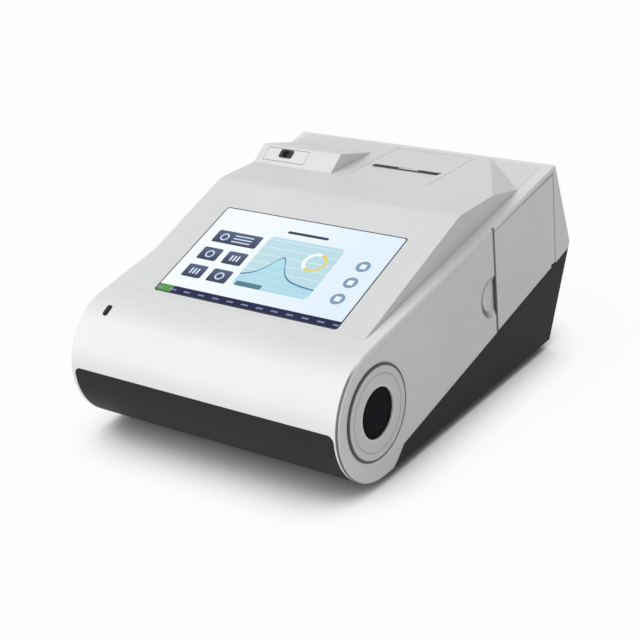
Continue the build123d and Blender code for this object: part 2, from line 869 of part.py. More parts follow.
# Guide under the deck that the cartridge runs into
with BuildPart() as cartridge_guide:
    with BuildSketch(Plane.YZ.offset(cartridge_x)):
        Polygon(
            slot_point(0, slot_roof - guide_wall),
            slot_point(cartridge_length + cartridge_gap + guide_wall, slot_roof - guide_wall),
            slot_point(cartridge_length + cartridge_gap + guide_wall, slot_floor + guide_wall),
            slot_point(0, slot_floor + guide_wall),
            align=None,
        )
    extrude(amount=cartridge_width / 2 + cartridge_gap + guide_wall, both=True)
    with BuildSketch(Plane.YZ.offset(cartridge_x)):
        Polygon(
            slot_point(-2 * cartridge_thickness, slot_roof),
            slot_point(cartridge_length + cartridge_gap, slot_roof),
            slot_point(cartridge_length + cartridge_gap, slot_floor),
            slot_point(-2 * cartridge_thickness, slot_floor),
            align=None,
        )
    extrude(amount=cartridge_width / 2 + cartridge_gap, both=True, mode=Mode.SUBTRACT)
    with BuildSketch(Plane.YZ.offset(cartridge_x)):
        Polygon(
            (knee_y, deck_underside(knee_y)),
            (ridge_y, deck_underside(ridge_y)),
            (ridge_y, 0),
            (knee_y, 0),
            align=None,
        )
    extrude(amount=cartridge_width, both=True, mode=Mode.INTERSECT)
    # Window in the floor for the contact block
    chip_mid = cartridge_length - chip_to_tip - chip_length / 2
    floor_plane = Plane(
        origin=(cartridge_x, *slot_point(chip_mid, slot_floor)),
        x_dir=(1, 0, 0),
        z_dir=(0, math.sin(slot_angle), math.cos(slot_angle)),
    )
    with BuildSketch(floor_plane):
        Rectangle(chip_width, chip_length)
    extrude(amount=-2 * guide_wall, mode=Mode.SUBTRACT)
cartridge_guide.part.label = "cartridge_guide"
export_step(cartridge_guide.part, "parts/cartridge_guide.step")

with BuildPart() as contact_block:
    with BuildSketch(floor_plane):
        Rectangle(chip_width, chip_length)
    extrude(amount=-guide_wall)
    with BuildSketch(floor_plane.offset(-guide_wall)):
        Rectangle(chip_width + 2 * ledge_width, chip_length + 2 * ledge_width)
    extrude(amount=-ledge_width)
contact_block.part.label = "contact_block"
export_step(contact_block.part, "parts/contact_block.step")

# Test cartridge with its sample port and sensor chip
with BuildPart() as cartridge_body:
    with BuildSketch(Plane.YZ.offset(cartridge_x)):
        Polygon(
            slot_point(-cartridge_cover * ramp_per_depth, cartridge_cover),
            slot_point(cartridge_length, cartridge_cover),
            slot_point(cartridge_length, cartridge_low),
            slot_point(-cartridge_low * ramp_per_depth, cartridge_low),
            align=None,
        )
    extrude(amount=cartridge_width / 2, both=True)
    with BuildSketch(ramp_plane(port_to_crest)):
        RectangleRounded(port_width, port_height, port_bore)
    extrude(amount=-port_depth, mode=Mode.SUBTRACT)
    chip_plane = floor_plane.offset(cartridge_gap)
    with BuildSketch(chip_plane):
        Rectangle(chip_width, chip_length)
    extrude(amount=chip_thickness, mode=Mode.SUBTRACT)
cartridge_body.part.label = "cartridge_body"
export_step(cartridge_body.part, "parts/cartridge_body.step")

with BuildPart() as sample_port:
    with BuildSketch(ramp_plane(port_to_crest)):
        RectangleRounded(port_width, port_height, port_bore)
    extrude(amount=-port_depth)
    with BuildSketch(ramp_plane(port_to_crest)):
        RectangleRounded(port_width, port_height, port_bore)
    extrude(amount=port_proud)
    with BuildSketch(ramp_plane(port_to_crest).offset(port_proud)):
        Circle(2 * port_bore)
    extrude(amount=-port_depth, taper=port_taper, mode=Mode.SUBTRACT)
sample_port.part.label = "sample_port"
export_step(sample_port.part, "parts/sample_port.step")

with BuildPart() as sensor_chip:
    with BuildSketch(chip_plane):
        Rectangle(chip_width, chip_length)
    extrude(amount=chip_thickness)
sensor_chip.part.label = "sensor_chip"
export_step(sensor_chip.part, "parts/sensor_chip.step")

# Printer bezel in front of the paper slot, held under the deck by a flange
bezel_rear_y = slot_front_y
with BuildPart() as printer_bezel:
    with BuildSketch(Plane.YZ.offset(printer_left)):
        Polygon(
            (bezel_front_y + lip_fit, deck_height(bezel_front_y + lip_fit)),
            (bezel_rear_y, deck_height(bezel_rear_y)),
            (bezel_rear_y, deck_underside(bezel_rear_y)),
            (bezel_front_y + lip_fit, deck_underside(bezel_front_y + lip_fit)),
            align=None,
        )
    extrude(amount=lid_width)
    with BuildSketch(Plane.YZ.offset(printer_left - ledge_width)):
        Polygon(
            (bezel_front_y - ledge_width, deck_underside(bezel_front_y - ledge_width)),
            (bezel_rear_y, deck_underside(bezel_rear_y)),
            (bezel_rear_y, deck_underside(bezel_rear_y) - bezel_flange),
            (bezel_front_y - ledge_width, deck_underside(bezel_front_y - ledge_width) - bezel_flange),
            align=None,
        )
    extrude(amount=lid_width + 2 * ledge_width)
    block(
        (printer_left + bezel_lap, printer_right - bezel_lap),
        (bezel_front_y + bezel_lap + lip_fit, bezel_rear_y),
        (deck_height(bezel_front_y) - 3 * wall, deck_underside(bezel_rear_y)),
        Mode.SUBTRACT,
    )
printer_bezel.part.label = "printer_bezel"
export_step(printer_bezel.part, "parts/printer_bezel.step")

# Serrated tear bar along the front of the paper slot
tear_count = round((paper_width + 2 * frame_side_gap) / tear_pitch)
with BuildPart() as tear_bar:
    with BuildSketch(Plane.XZ.offset(-bezel_rear_y)):
        with Locations((printer_x, deck_height(bezel_rear_y) - tear_depth - tear_height / 2)):
            Rectangle(tear_count * tear_pitch, tear_height)
        with Locations((printer_x, deck_height(bezel_rear_y) - tear_depth)):
            with GridLocations(tear_pitch, 0, tear_count, 1):
                Polygon((-tear_pitch / 2, 0), (tear_pitch / 2, 0), (0, tear_depth), align=None)
    extrude(amount=-tear_thickness)
tear_bar.part.label = "tear_bar"
export_step(tear_bar.part, "parts/tear_bar.step")

# Printer lid on its pin
with BuildPart() as printer_lid:
    with BuildSketch(Plane.YZ.offset(printer_left)):
        Polygon(
            (lid_front_y, deck_height(lid_front_y)),
            (lid_pin_y, deck_height(lid_pin_y)),
            (lid_pin_y, deck_height(lid_pin_y) - lid_thickness),
            (lid_front_y, deck_height(lid_front_y) - lid_thickness),
            align=None,
        )
        with Locations((lid_pin_y, lid_pin_z)):
            Circle(lid_barrel_radius)
    extrude(amount=lid_width)
    with BuildSketch(Plane.YZ.offset(printer_left)):
        with Locations((lid_pin_y, lid_pin_z)):
            Circle(lid_pin_radius + running_gap)
    extrude(amount=lid_width, mode=Mode.SUBTRACT)
    # Thumb notch in the front edge
    with BuildSketch(Plane.XY.offset(deck_height(lid_front_y) - lid_thickness / 2)):
        with Locations((printer_x, lid_front_y)):
            Ellipse(notch_half_width, wall)
    extrude(amount=lid_thickness, mode=Mode.SUBTRACT)
printer_lid.part.label = "printer_lid"
export_step(printer_lid.part, "parts/printer_lid.step")

with BuildPart() as lid_pin:
    with BuildSketch(Plane.YZ.offset(printer_left - lid_gap - lid_pin_bite + running_gap)):
        with Locations((lid_pin_y, lid_pin_z)):
            Circle(lid_pin_radius)
    extrude(amount=lid_width + 2 * (lid_gap + lid_pin_bite - running_gap))
lid_pin.part.label = "lid_pin"
export_step(lid_pin.part, "parts/lid_pin.step")

# Paper bucket: a round trough with end walls, flanged to the deck's underside
bucket_front_y = slot_front_y + slot_to_bucket
bucket_inner = paper_radius + paper_gap
bucket_outer = bucket_inner + bucket_wall
paper_y = bucket_front_y + bucket_outer
paper_z = deck_height(paper_y) - lid_thickness - paper_to_lid - paper_radius
bucket_half = paper_width / 2 + bucket_side_gap
bucket_rim_z = lid_pin_z - lid_barrel_radius - lid_gap
flange_front_y = bucket_front_y + bucket_flange
flange_rear_y = lid_pin_y - lid_barrel_radius - lid_gap
with BuildPart() as paper_bucket:
    with BuildSketch(Plane.YZ.offset(printer_x)):
        with Locations((paper_y, paper_z)):
            Circle(bucket_outer)
        Polygon(
            (paper_y - bucket_outer, paper_z),
            (paper_y + bucket_outer, paper_z),
            (paper_y + bucket_outer, bucket_rim_z),
            (paper_y - bucket_outer, bucket_rim_z),
            align=None,
        )
    extrude(amount=bucket_half + bucket_wall, both=True)
    with BuildSketch(Plane.YZ.offset(printer_x)):
        with Locations((paper_y, paper_z)):
            Circle(bucket_inner)
        Polygon(
            (paper_y - bucket_inner, paper_z),
            (paper_y + bucket_inner, paper_z),
            (paper_y + bucket_inner, bucket_rim_z + wall),
            (paper_y - bucket_inner, bucket_rim_z + wall),
            align=None,
        )
    extrude(amount=bucket_half, both=True, mode=Mode.SUBTRACT)
    # Low front wall, so that the paper leaves towards the slot, and a level rim
    block(
        (printer_x - bucket_half, printer_x + bucket_half),
        (bucket_front_y - wall, paper_y),
        (paper_z + wall, bucket_rim_z + wall),
        Mode.SUBTRACT,
    )
    block(
        (printer_x - lid_width, printer_x + lid_width),
        (bucket_front_y - wall, ridge_y),
        (bucket_rim_z, knee_z),
        Mode.SUBTRACT,
    )
    for side in (-1, 1):
        with BuildSketch(Plane.YZ.offset(printer_x + side * (bucket_half + bucket_wall / 2))):
            Polygon(
                (flange_front_y, deck_underside(flange_front_y)),
                (flange_rear_y, deck_underside(flange_rear_y)),
                (flange_rear_y, bucket_rim_z - wall),
                (flange_front_y, bucket_rim_z - wall),
                align=None,
            )
        extrude(amount=side * bucket_wall / 2)
        with BuildSketch(Plane.YZ.offset(printer_x + side * (bucket_half + bucket_wall / 2))):
            Polygon(
                (flange_front_y, deck_underside(flange_front_y)),
                (flange_rear_y, deck_underside(flange_rear_y)),
                (flange_rear_y, deck_underside(flange_rear_y) - bucket_wall),
                (flange_front_y, deck_underside(flange_front_y) - bucket_wall),
                align=None,
            )
        extrude(amount=side * (lid_width / 2 + ledge_width - bucket_half))
paper_bucket.part.label = "paper_bucket"
export_step(paper_bucket.part, "parts/paper_bucket.step")

with BuildPart() as paper_roll:
    with BuildSketch(Plane.YZ.offset(printer_x)):
        with Locations((paper_y, paper_z)):
            Circle(paper_radius)
            Circle(core_radius, mode=Mode.SUBTRACT)
    extrude(amount=paper_width / 2, both=True)
paper_roll.part.label = "paper_roll"
export_step(paper_roll.part, "parts/paper_roll.step")

with BuildPart() as paper_core:
    with BuildSketch(Plane.YZ.offset(printer_x)):
        with Locations((paper_y, paper_z)):
            Circle(core_radius)
            Circle(core_bore, mode=Mode.SUBTRACT)
    extrude(amount=paper_width / 2, both=True)
paper_core.part.label = "paper_core"
export_step(paper_core.part, "parts/paper_core.step")


# Printer drive: motor pinion, idler and platen gear in mesh outside the right side plate
def polar_step(start, radius, direction):
    """Point at a distance and direction, in degrees, from a start point in the side view."""
    angle = math.radians(direction)
    return (start[0] + radius * math.cos(angle), start[1] + radius * math.sin(angle))


def mesh_turn(turn, teeth, mate_teeth, direction):
    """Start angle of a gear that meshes with one turned by a given angle."""
    ahead = (turn - direction) % (360 / teeth)
    return direction + 180 - ahead * teeth / mate_teeth + 180 / mate_teeth


def gear_face(teeth, turn, centre):
    """Spur gear outline with straight-flanked teeth, one tooth at the start angle."""
    pitch = gear_module * teeth / 2
    root = pitch - 1.25 * gear_module
    tip = pitch + 0.9 * gear_module
    half_root = 0.95 * gear_module
    half_tip = 0.36 * gear_module
    with BuildSketch(Plane.YZ) as face:
        with Locations(centre):
            Circle(root)
            with PolarLocations(0, teeth, start_angle=turn):
                Polygon(
                    (root - gear_module / 2, -half_root),
                    (tip, -half_tip),
                    (tip, half_tip),
                    (root - gear_module / 2, half_root),
                    align=None,
                )
    return face.sketch_local


platen_centre = (platen_y, deck_height(platen_y) - platen_drop)
idler_reach = gear_module * (platen_teeth + idler_teeth) / 2 + gear_slack
pinion_reach = gear_module * (idler_teeth + pinion_teeth) / 2 + gear_slack
idler_centre = polar_step(platen_centre, idler_reach, idler_direction)
pinion_centre = polar_step(idler_centre, pinion_reach, pinion_direction)
platen_turn = idler_direction
idler_turn = mesh_turn(platen_turn, platen_teeth, idler_teeth, idler_direction)
pinion_turn = mesh_turn(idler_turn, idler_teeth, pinion_teeth, pinion_direction)
plate_inner = paper_width / 2 + frame_side_gap
plate_outer = plate_inner + frame_thickness
gear_left_x = printer_x + plate_outer + frame_gear_gap
gear_right_x = gear_left_x + gear_width
frame_front_y = bezel_front_y + bezel_lap + 2 * lip_fit
frame_rear_y = bucket_front_y - lip_fit
frame_bottom_z = pinion_centre[1] - motor_radius - frame_thickness - running_gap
frame_top_z = deck_underside(frame_rear_y) - running_gap

with BuildPart() as printer_frame:
    for side in (-1, 1):
        with BuildSketch(Plane.YZ.offset(printer_x + side * plate_inner)):
            Polygon(
                (frame_front_y, frame_bottom_z),
                (platen_y, frame_bottom_z),
                (frame_rear_y, idler_centre[1]),
                (frame_rear_y, frame_top_z),
                (frame_front_y, frame_top_z),
                align=None,
            )
            with Locations(platen_centre):
                Circle(platen_shaft_radius + running_gap, mode=Mode.SUBTRACT)
            with Locations(pinion_centre):
                Circle(2 * motor_shaft_radius, mode=Mode.SUBTRACT)
        extrude(amount=side * frame_thickness)
    block(
        (printer_x - plate_inner, printer_x + plate_inner),
        (frame_front_y, platen_y),
        (frame_bottom_z, frame_bottom_z + frame_thickness),
    )
    with BuildSketch(Plane.YZ.offset(printer_x + plate_outer)):
        with Locations(idler_centre):
            Circle(idler_post_radius)
    extrude(amount=frame_gear_gap + gear_width + running_gap)
printer_frame.part.label = "printer_frame"
export_step(printer_frame.part, "parts/printer_frame.step")

with BuildPart() as print_head:
    head_rear_y = platen_y - platen_radius - head_gap
    block(
        (printer_x - plate_inner, printer_x + plate_inner),
        (head_rear_y - head_thickness, head_rear_y),
        (platen_centre[1] - head_height / 2, platen_centre[1] + head_height / 2),
    )
    fin_pitch = 2 * plate_inner / head_fins
    with Locations((printer_x, head_rear_y - head_thickness - wall / 2, platen_centre[1])):
        with GridLocations(fin_pitch, 0, head_fins, 1):
            Box(frame_thickness, wall, head_height)
print_head.part.label = "print_head"
export_step(print_head.part, "parts/print_head.step")

with BuildPart() as platen_shaft:
    with BuildSketch(Plane.YZ.offset(printer_x - plate_outer - frame_gear_gap / 2)):
        with Locations(platen_centre):
            Circle(platen_shaft_radius)
    extrude(amount=gear_right_x - printer_x + plate_outer + frame_gear_gap)
platen_shaft.part.label = "platen_shaft"
export_step(platen_shaft.part, "parts/platen_shaft.step")

with BuildPart() as platen_roller:
    with BuildSketch(Plane.YZ.offset(printer_x)):
        with Locations(platen_centre):
            Circle(platen_radius)
            Circle(platen_shaft_radius, mode=Mode.SUBTRACT)
    extrude(amount=paper_width / 2, both=True)
platen_roller.part.label = "platen_roller"
export_step(platen_roller.part, "parts/platen_roller.step")

with BuildPart() as platen_gear:
    with BuildSketch(Plane.YZ.offset(gear_left_x)):
        add(gear_face(platen_teeth, platen_turn, platen_centre))
        with Locations(platen_centre):
            Circle(platen_shaft_radius, mode=Mode.SUBTRACT)
    extrude(amount=gear_width)
platen_gear.part.label = "platen_gear"
export_step(platen_gear.part, "parts/platen_gear.step")

with BuildPart() as idler_gear:
    with BuildSketch(Plane.YZ.offset(gear_left_x)):
        add(gear_face(idler_teeth, idler_turn, idler_centre))
        with Locations(idler_centre):
            Circle(idler_post_radius + running_gap, mode=Mode.SUBTRACT)
    extrude(amount=gear_width)
idler_gear.part.label = "idler_gear"
export_step(idler_gear.part, "parts/idler_gear.step")

with BuildPart() as motor_pinion:
    with BuildSketch(Plane.YZ.offset(gear_left_x)):
        add(gear_face(pinion_teeth, pinion_turn, pinion_centre))
    extrude(amount=gear_width)
    with BuildSketch(Plane.YZ.offset(printer_x + plate_inner + running_gap)):
        with Locations(pinion_centre):
            Circle(motor_shaft_radius)
    extrude(amount=gear_left_x - printer_x - plate_inner)
motor_pinion.part.label = "motor_pinion"
export_step(motor_pinion.part, "parts/motor_pinion.step")

with BuildPart() as printer_motor:
    with BuildSketch(Plane.YZ.offset(printer_x + plate_inner)):
        with Locations(pinion_centre):
            Circle(motor_radius)
    extrude(amount=-motor_length)
printer_motor.part.label = "printer_motor"
export_step(printer_motor.part, "parts/printer_motor.step")

# Calibrant door with its hinge barrel and pin
strike_y = seam_y + magnet_inset
with BuildPart() as calibrant_door:
    with BuildSketch(Plane.YZ.offset(half_width)):
        Polygon(*door_corners, align=None)
    extrude(amount=-wall)
    with BuildSketch(Plane.XY.offset(door_hinge_bottom)):
        with Locations((door_pin_x, door_hinge_y)):
            Circle(door_barrel_radius)
    extrude(amount=door_hinge_top - door_hinge_bottom)
    with BuildSketch(Plane.XY.offset(door_hinge_bottom)):
        with Locations((door_pin_x, door_hinge_y)):
            Circle(door_pin_radius + running_gap)
    extrude(amount=door_hinge_top - door_hinge_bottom, mode=Mode.SUBTRACT)
    block(
        (half_width - wall, half_width - wall + magnet_thickness / 3),
        (strike_y - magnet_size / 2, strike_y + magnet_size / 2),
        (magnet_z - magnet_size, magnet_z + magnet_size),
        Mode.SUBTRACT,
    )
calibrant_door.part.label = "calibrant_door"
export_step(calibrant_door.part, "parts/calibrant_door.step")

with BuildPart() as door_strike:
    block(
        (half_width - wall, half_width - wall + magnet_thickness / 3),
        (strike_y - magnet_size / 2, strike_y + magnet_size / 2),
        (magnet_z - magnet_size, magnet_z + magnet_size),
    )
door_strike.part.label = "door_strike"
export_step(door_strike.part, "parts/door_strike.step")

with BuildPart() as door_pin:
    with BuildSketch(Plane.XY.offset(door_pin_bottom + running_gap)):
        with Locations((door_pin_x, door_hinge_y)):
            Circle(door_pin_radius)
    extrude(amount=door_pin_top - door_pin_bottom - 2 * running_gap)
door_pin.part.label = "door_pin"
export_step(door_pin.part, "parts/door_pin.step")

# Bay behind the door, a five-sided pocket with a flange against the side wall
bay_y = (pack_y - pack_depth / 2 - bay_gap, pack_y + pack_depth / 2 + bay_gap)
bay_z = (pack_bottom - bay_gap, pack_bottom + pack_height + bay_gap)
bay_back_x = pack_front_x - pack_width - bay_back_gap
flange_x = half_width - wall - bay_wall
with BuildPart() as calibrant_bay:
    with BuildSketch(Plane.YZ.offset(flange_x)):
        Polygon(
            (seam_y - flange_lap, parting_height(seam_y - flange_lap) - flange_lap),
            (
                door_opening_rear + flange_lap,
                parting_height(door_opening_rear + flange_lap) - flange_lap,
            ),
            (
                door_opening_rear + flange_lap,
                rail_height(door_opening_rear + flange_lap) - ledge_depth - lip_fit,
            ),
            (seam_y - flange_lap, rail_height(seam_y - flange_lap) - ledge_depth - lip_fit),
            align=None,
        )
    extrude(amount=bay_wall)
    block(
        (bay_back_x - bay_wall, half_width - wall),
        (bay_y[0] - bay_wall, bay_y[1] + bay_wall),
        (bay_z[0] - bay_wall, bay_z[1] + bay_wall),
    )
    block((bay_back_x, half_width - wall), bay_y, bay_z, Mode.SUBTRACT)
    block(
        (half_width - wall - magnet_thickness, half_width - wall),
        (strike_y - magnet_size / 2, strike_y + magnet_size / 2),
        (magnet_z - magnet_size / 2, magnet_z + magnet_size / 2),
        Mode.SUBTRACT,
    )
calibrant_bay.part.label = "calibrant_bay"
export_step(calibrant_bay.part, "parts/calibrant_bay.step")

with BuildPart() as door_magnet:
    block(
        (half_width - wall - magnet_thickness, half_width - wall),
        (strike_y - magnet_size / 2, strike_y + magnet_size / 2),
        (magnet_z - magnet_size / 2, magnet_z + magnet_size / 2),
    )
door_magnet.part.label = "door_magnet"
export_step(door_magnet.part, "parts/door_magnet.step")

# Calibrant pack: a rounded cassette with a finger lip and a septum at its rear
with BuildPart() as calibrant_pack:
    block(
        (pack_front_x - pack_width, pack_front_x),
        (pack_y - pack_depth / 2, pack_y + pack_depth / 2),
        (pack_bottom, pack_bottom + pack_height),
    )
    fillet(calibrant_pack.edges().filter_by(Axis.X), wall)
    pull_z = pack_bottom + pack_height - 2 * wall
    with BuildSketch(Plane.YZ.offset(pack_front_x)):
        with Locations((pack_y, pull_z)):
            SlotOverall(pack_depth / 2, 2 * wall)
    extrude(amount=-2 * wall, mode=Mode.SUBTRACT)
calibrant_pack.part.label = "calibrant_pack"
export_step(calibrant_pack.part, "parts/calibrant_pack.step")

with BuildPart() as pack_septum:
    with BuildSketch(Plane.YZ.offset(pack_front_x - pack_width)):
        with Locations((pack_y, pack_bottom + pack_height / 2)):
            Circle(septum_radius)
    extrude(amount=-septum_proud)
pack_septum.part.label = "pack_septum"
export_step(pack_septum.part, "parts/pack_septum.step")

with BuildPart() as calibrant_probe:
    with BuildSketch(Plane.YZ.offset(bay_back_x)):
        with Locations((pack_y, pack_bottom + pack_height / 2)):
            Circle(septum_radius)
    extrude(amount=bay_back_gap - septum_proud - bay_gap, taper=20)
calibrant_probe.part.label = "calibrant_probe"
export_step(calibrant_probe.part, "parts/calibrant_probe.step")

# Rear connector well and its ports
with BuildPart() as rear_panel:
    extrude(body_outline().sketch, amount=half_width, both=True)
    block(
        (well_left, well_right),
        (well_floor_y - well_wall, ridge_y),
        (well_bottom, well_top),
        Mode.INTERSECT,
    )
    block(
        (well_left + well_wall, well_right - well_wall),
        (well_floor_y, ridge_y),
        (well_bottom + well_wall, well_top - well_wall),
        Mode.SUBTRACT,
    )
    with BuildSketch(Plane.XZ.offset(-well_floor_y)):
        with Locations((lan_x, ports_z)):
            Rectangle(lan_size[0] + 2 * port_fit, lan_size[1] + 2 * port_fit)
        with Locations((usb_x, ports_z)):
            Rectangle(usb_size[0] + 2 * port_fit, usb_size[1] + 2 * port_fit)
        with Locations((inlet_x, ports_z)):
            Circle(inlet_radius + port_fit)
    extrude(amount=well_wall, mode=Mode.SUBTRACT)
rear_panel.part.label = "rear_panel"
export_step(rear_panel.part, "parts/rear_panel.step")

with BuildPart() as lan_port:
    with BuildSketch(Plane.XZ.offset(-well_floor_y)):
        with Locations((lan_x, ports_z)):
            Rectangle(*lan_size)
    extrude(amount=port_body_depth)
    with BuildSketch(Plane.XZ.offset(-well_floor_y)):
        with Locations((lan_x, ports_z)):
            Rectangle(*lan_cavity)
    extrude(amount=port_cavity_depth, mode=Mode.SUBTRACT)
lan_port.part.label = "lan_port"
export_step(lan_port.part, "parts/lan_port.step")

with BuildPart() as usb_ports:
    with BuildSketch(Plane.XZ.offset(-well_floor_y)):
        with Locations((usb_x, ports_z)):
            Rectangle(*usb_size)
    extrude(amount=port_body_depth)
    with BuildSketch(Plane.XZ.offset(-well_floor_y)):
        with Locations((usb_x, ports_z)):
            with GridLocations(0, usb_pitch, 1, 2):
                Rectangle(*usb_cavity)
    extrude(amount=port_cavity_depth, mode=Mode.SUBTRACT)
    with BuildSketch(Plane.XZ.offset(-well_floor_y + 1)):
        with Locations((usb_x, ports_z + usb_tongue / 2)):
            with GridLocations(0, usb_pitch, 1, 2):
                Rectangle(usb_cavity[0] - usb_tongue, usb_tongue)
    extrude(amount=port_cavity_depth)
usb_ports.part.label = "usb_ports"
export_step(usb_ports.part, "parts/usb_ports.step")

with BuildPart() as dc_inlet:
    with BuildSketch(Plane.XZ.offset(-well_floor_y)):
        with Locations((inlet_x, ports_z)):
            Circle(inlet_radius)
    extrude(amount=port_body_depth)
    with BuildSketch(Plane.XZ.offset(-well_floor_y)):
        with Locations((inlet_x, ports_z)):
            Circle(inlet_bore)
            Circle(inlet_pin, mode=Mode.SUBTRACT)
    extrude(amount=port_cavity_depth, mode=Mode.SUBTRACT)
dc_inlet.part.label = "dc_inlet"
export_step(dc_inlet.part, "parts/dc_inlet.step")

# Underside: feet, battery and its cover
with BuildPart() as rubber_feet:
    with BuildSketch():
        for x in (-foot_x, foot_x):
            with Locations((x, foot_front_y), (x, foot_rear_y)):
                Circle(foot_radius)
    extrude(amount=foot_height)
rubber_feet.part.label = "rubber_feet"
export_step(rubber_feet.part, "parts/rubber_feet.step")

with BuildPart() as battery_cover:
    with BuildSketch(Plane.XY.offset(foot_height)):
        with Locations((battery_x, battery_y)):
            RectangleRounded(*battery_cover_size, battery_lip)
    extrude(amount=battery_cover_thickness)
battery_cover.part.label = "battery_cover"
export_step(battery_cover.part, "parts/battery_cover.step")

with BuildPart() as battery_pack:
    battery_z = foot_height + battery_cover_thickness
    block(
        (battery_x - battery_size[0] / 2, battery_x + battery_size[0] / 2),
        (battery_y - battery_size[1] / 2, battery_y + battery_size[1] / 2),
        (battery_z, battery_z + battery_size[2]),
    )
    fillet(battery_pack.edges().filter_by(Axis.Z), wall)
battery_pack.part.label = "battery_pack"
export_step(battery_pack.part, "parts/battery_pack.step")

# Main board on the base's standoffs
with BuildPart() as main_board:
    block(
        (board_x - board_size[0] / 2, board_x + board_size[0] / 2),
        (board_y - board_size[1] / 2, board_y + board_size[1] / 2),
        (board_z, board_z + board_size[2]),
    )
    with Locations((board_x, board_y, board_z + board_size[2] + wall / 2)):
        with GridLocations(board_size[0] / 4, board_size[1] / 3, 3, 2):
            Box(board_size[0] / 9, board_size[1] / 7, wall)
main_board.part.label = "main_board"
export_step(main_board.part, "parts/main_board.step")
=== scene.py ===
"""Portable blood gas analyzer: finishes, fine detail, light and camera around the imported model."""

import logging
import math
from abc import ABC, abstractmethod
from dataclasses import dataclass
from enum import Enum
from functools import cache
from typing import ClassVar, Union

import bmesh
import bpy
from mathutils import Matrix, Vector


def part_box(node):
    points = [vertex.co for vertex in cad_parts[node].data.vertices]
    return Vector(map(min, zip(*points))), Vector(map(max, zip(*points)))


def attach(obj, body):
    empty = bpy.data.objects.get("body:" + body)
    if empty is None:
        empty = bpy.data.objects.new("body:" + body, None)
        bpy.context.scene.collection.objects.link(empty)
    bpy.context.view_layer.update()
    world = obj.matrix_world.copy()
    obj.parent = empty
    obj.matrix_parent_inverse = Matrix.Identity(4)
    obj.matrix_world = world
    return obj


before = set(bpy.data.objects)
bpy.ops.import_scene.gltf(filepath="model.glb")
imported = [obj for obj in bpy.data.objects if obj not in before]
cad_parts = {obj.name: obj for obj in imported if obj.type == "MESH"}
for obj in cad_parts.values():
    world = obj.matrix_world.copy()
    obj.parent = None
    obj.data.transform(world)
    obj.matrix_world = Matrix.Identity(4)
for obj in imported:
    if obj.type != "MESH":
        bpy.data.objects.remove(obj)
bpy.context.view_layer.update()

log = logging.getLogger("analyzer")
Pair = tuple[float, float]
Triple = tuple[float, float, float]
Colour = Triple
Form = bmesh.types.BMesh
Material = bpy.types.Material
Socket = bpy.types.NodeSocket
Number = Union[float, "Wire"]
Tone = Union[Colour, Socket]

MM = 0.001
NOISE_SPAN = (0.3, 0.7)
FINE_RELIEF = 0.1 * MM
SOFT_SEGMENTS = 2
SHARP_ANGLE = math.radians(35.0)
WHITE_PLASTIC = (0.8, 0.805, 0.81)
GREY_PLASTIC = (0.755, 0.76, 0.765)
BEYOND = 1.0


class Axis3(Enum):
    """Direction across a seam, along a metal's lines or along a turned piece."""

    X = "X"
    Y = "Y"
    Z = "Z"


class Wire:
    """A node socket that takes part in Python expressions on values."""

    def __init__(self, graph: "Graph", socket: Socket) -> None:
        """Keep the graph and the output socket."""
        self.graph = graph
        self.socket = socket

    def maths(self, operation: str, other: Number = 0.0, flipped: bool = False) -> "Wire":
        """Result of one Math node, where the other value comes first if it is flipped."""
        values = {0: other, 1: self} if flipped else {0: self, 1: other}
        return self.graph.wire("ShaderNodeMath", {"operation": operation}, values)

    def __add__(self, other: Number) -> "Wire":
        """Sum."""
        return self.maths("ADD", other)

    __radd__ = __add__

    def __sub__(self, other: Number) -> "Wire":
        """Difference."""
        return self.maths("SUBTRACT", other)

    def __rsub__(self, other: Number) -> "Wire":
        """Difference, reflected."""
        return self.maths("SUBTRACT", other, True)

    def __mul__(self, other: Number) -> "Wire":
        """Product."""
        return self.maths("MULTIPLY", other)

    __rmul__ = __mul__

    def __truediv__(self, other: Number) -> "Wire":
        """Quotient."""
        return self.maths("DIVIDE", other)

    def __rtruediv__(self, other: Number) -> "Wire":
        """Quotient, reflected."""
        return self.maths("DIVIDE", other, True)

    def __pow__(self, other: Number) -> "Wire":
        """Power."""
        return self.maths("POWER", other)

    def __abs__(self) -> "Wire":
        """Size without sign."""
        return self.maths("ABSOLUTE")

    def at_least(self, other: Number) -> "Wire":
        """The larger of two values."""
        return self.maths("MAXIMUM", other)

    def at_most(self, other: Number) -> "Wire":
        """The smaller of two values."""
        return self.maths("MINIMUM", other)

    def over(self, other: Number) -> "Wire":
        """1 where this value is greater, else 0."""
        return self.maths("GREATER_THAN", other)

    def under(self, other: Number) -> "Wire":
        """1 where this value is smaller, else 0."""
        return self.maths("LESS_THAN", other)

    def folded(self, pitch: float) -> "Wire":
        """Distance to the middle of the cell that a value falls in, for a row of equal cells."""
        return (self / pitch + 0.5).maths("FRACT") * pitch - pitch / 2

    def cell(self, pitch: float) -> "Wire":
        """Number of the cell that a value falls in."""
        return (self / pitch + 0.5).maths("FLOOR")

    def swing(self, amount: float) -> "Wire":
        """Swing round 0, by an amount, of a value that lies round a half."""
        return (self - 0.5) * amount

    def ripple(self, pitch: float) -> "Wire":
        """Wave between 0 and 1 with a pitch."""
        return (self * (2 * math.pi / pitch)).maths("SINE") * 0.5 + 0.5

    def ramp(self, low: float, high: float) -> "Wire":
        """Smooth rise from 0 at the low value to 1 at the high value."""
        values = {"Value": self, "From Min": low, "From Max": high}
        return self.graph.wire("ShaderNodeMapRange", {"interpolation_type": "SMOOTHSTEP"}, values)

    def step(self, place: float, soft: float) -> "Wire":
        """Rise from 0 to 1 at a place, with a soft edge of a half width on both sides."""
        return self.ramp(place - soft, place + soft)


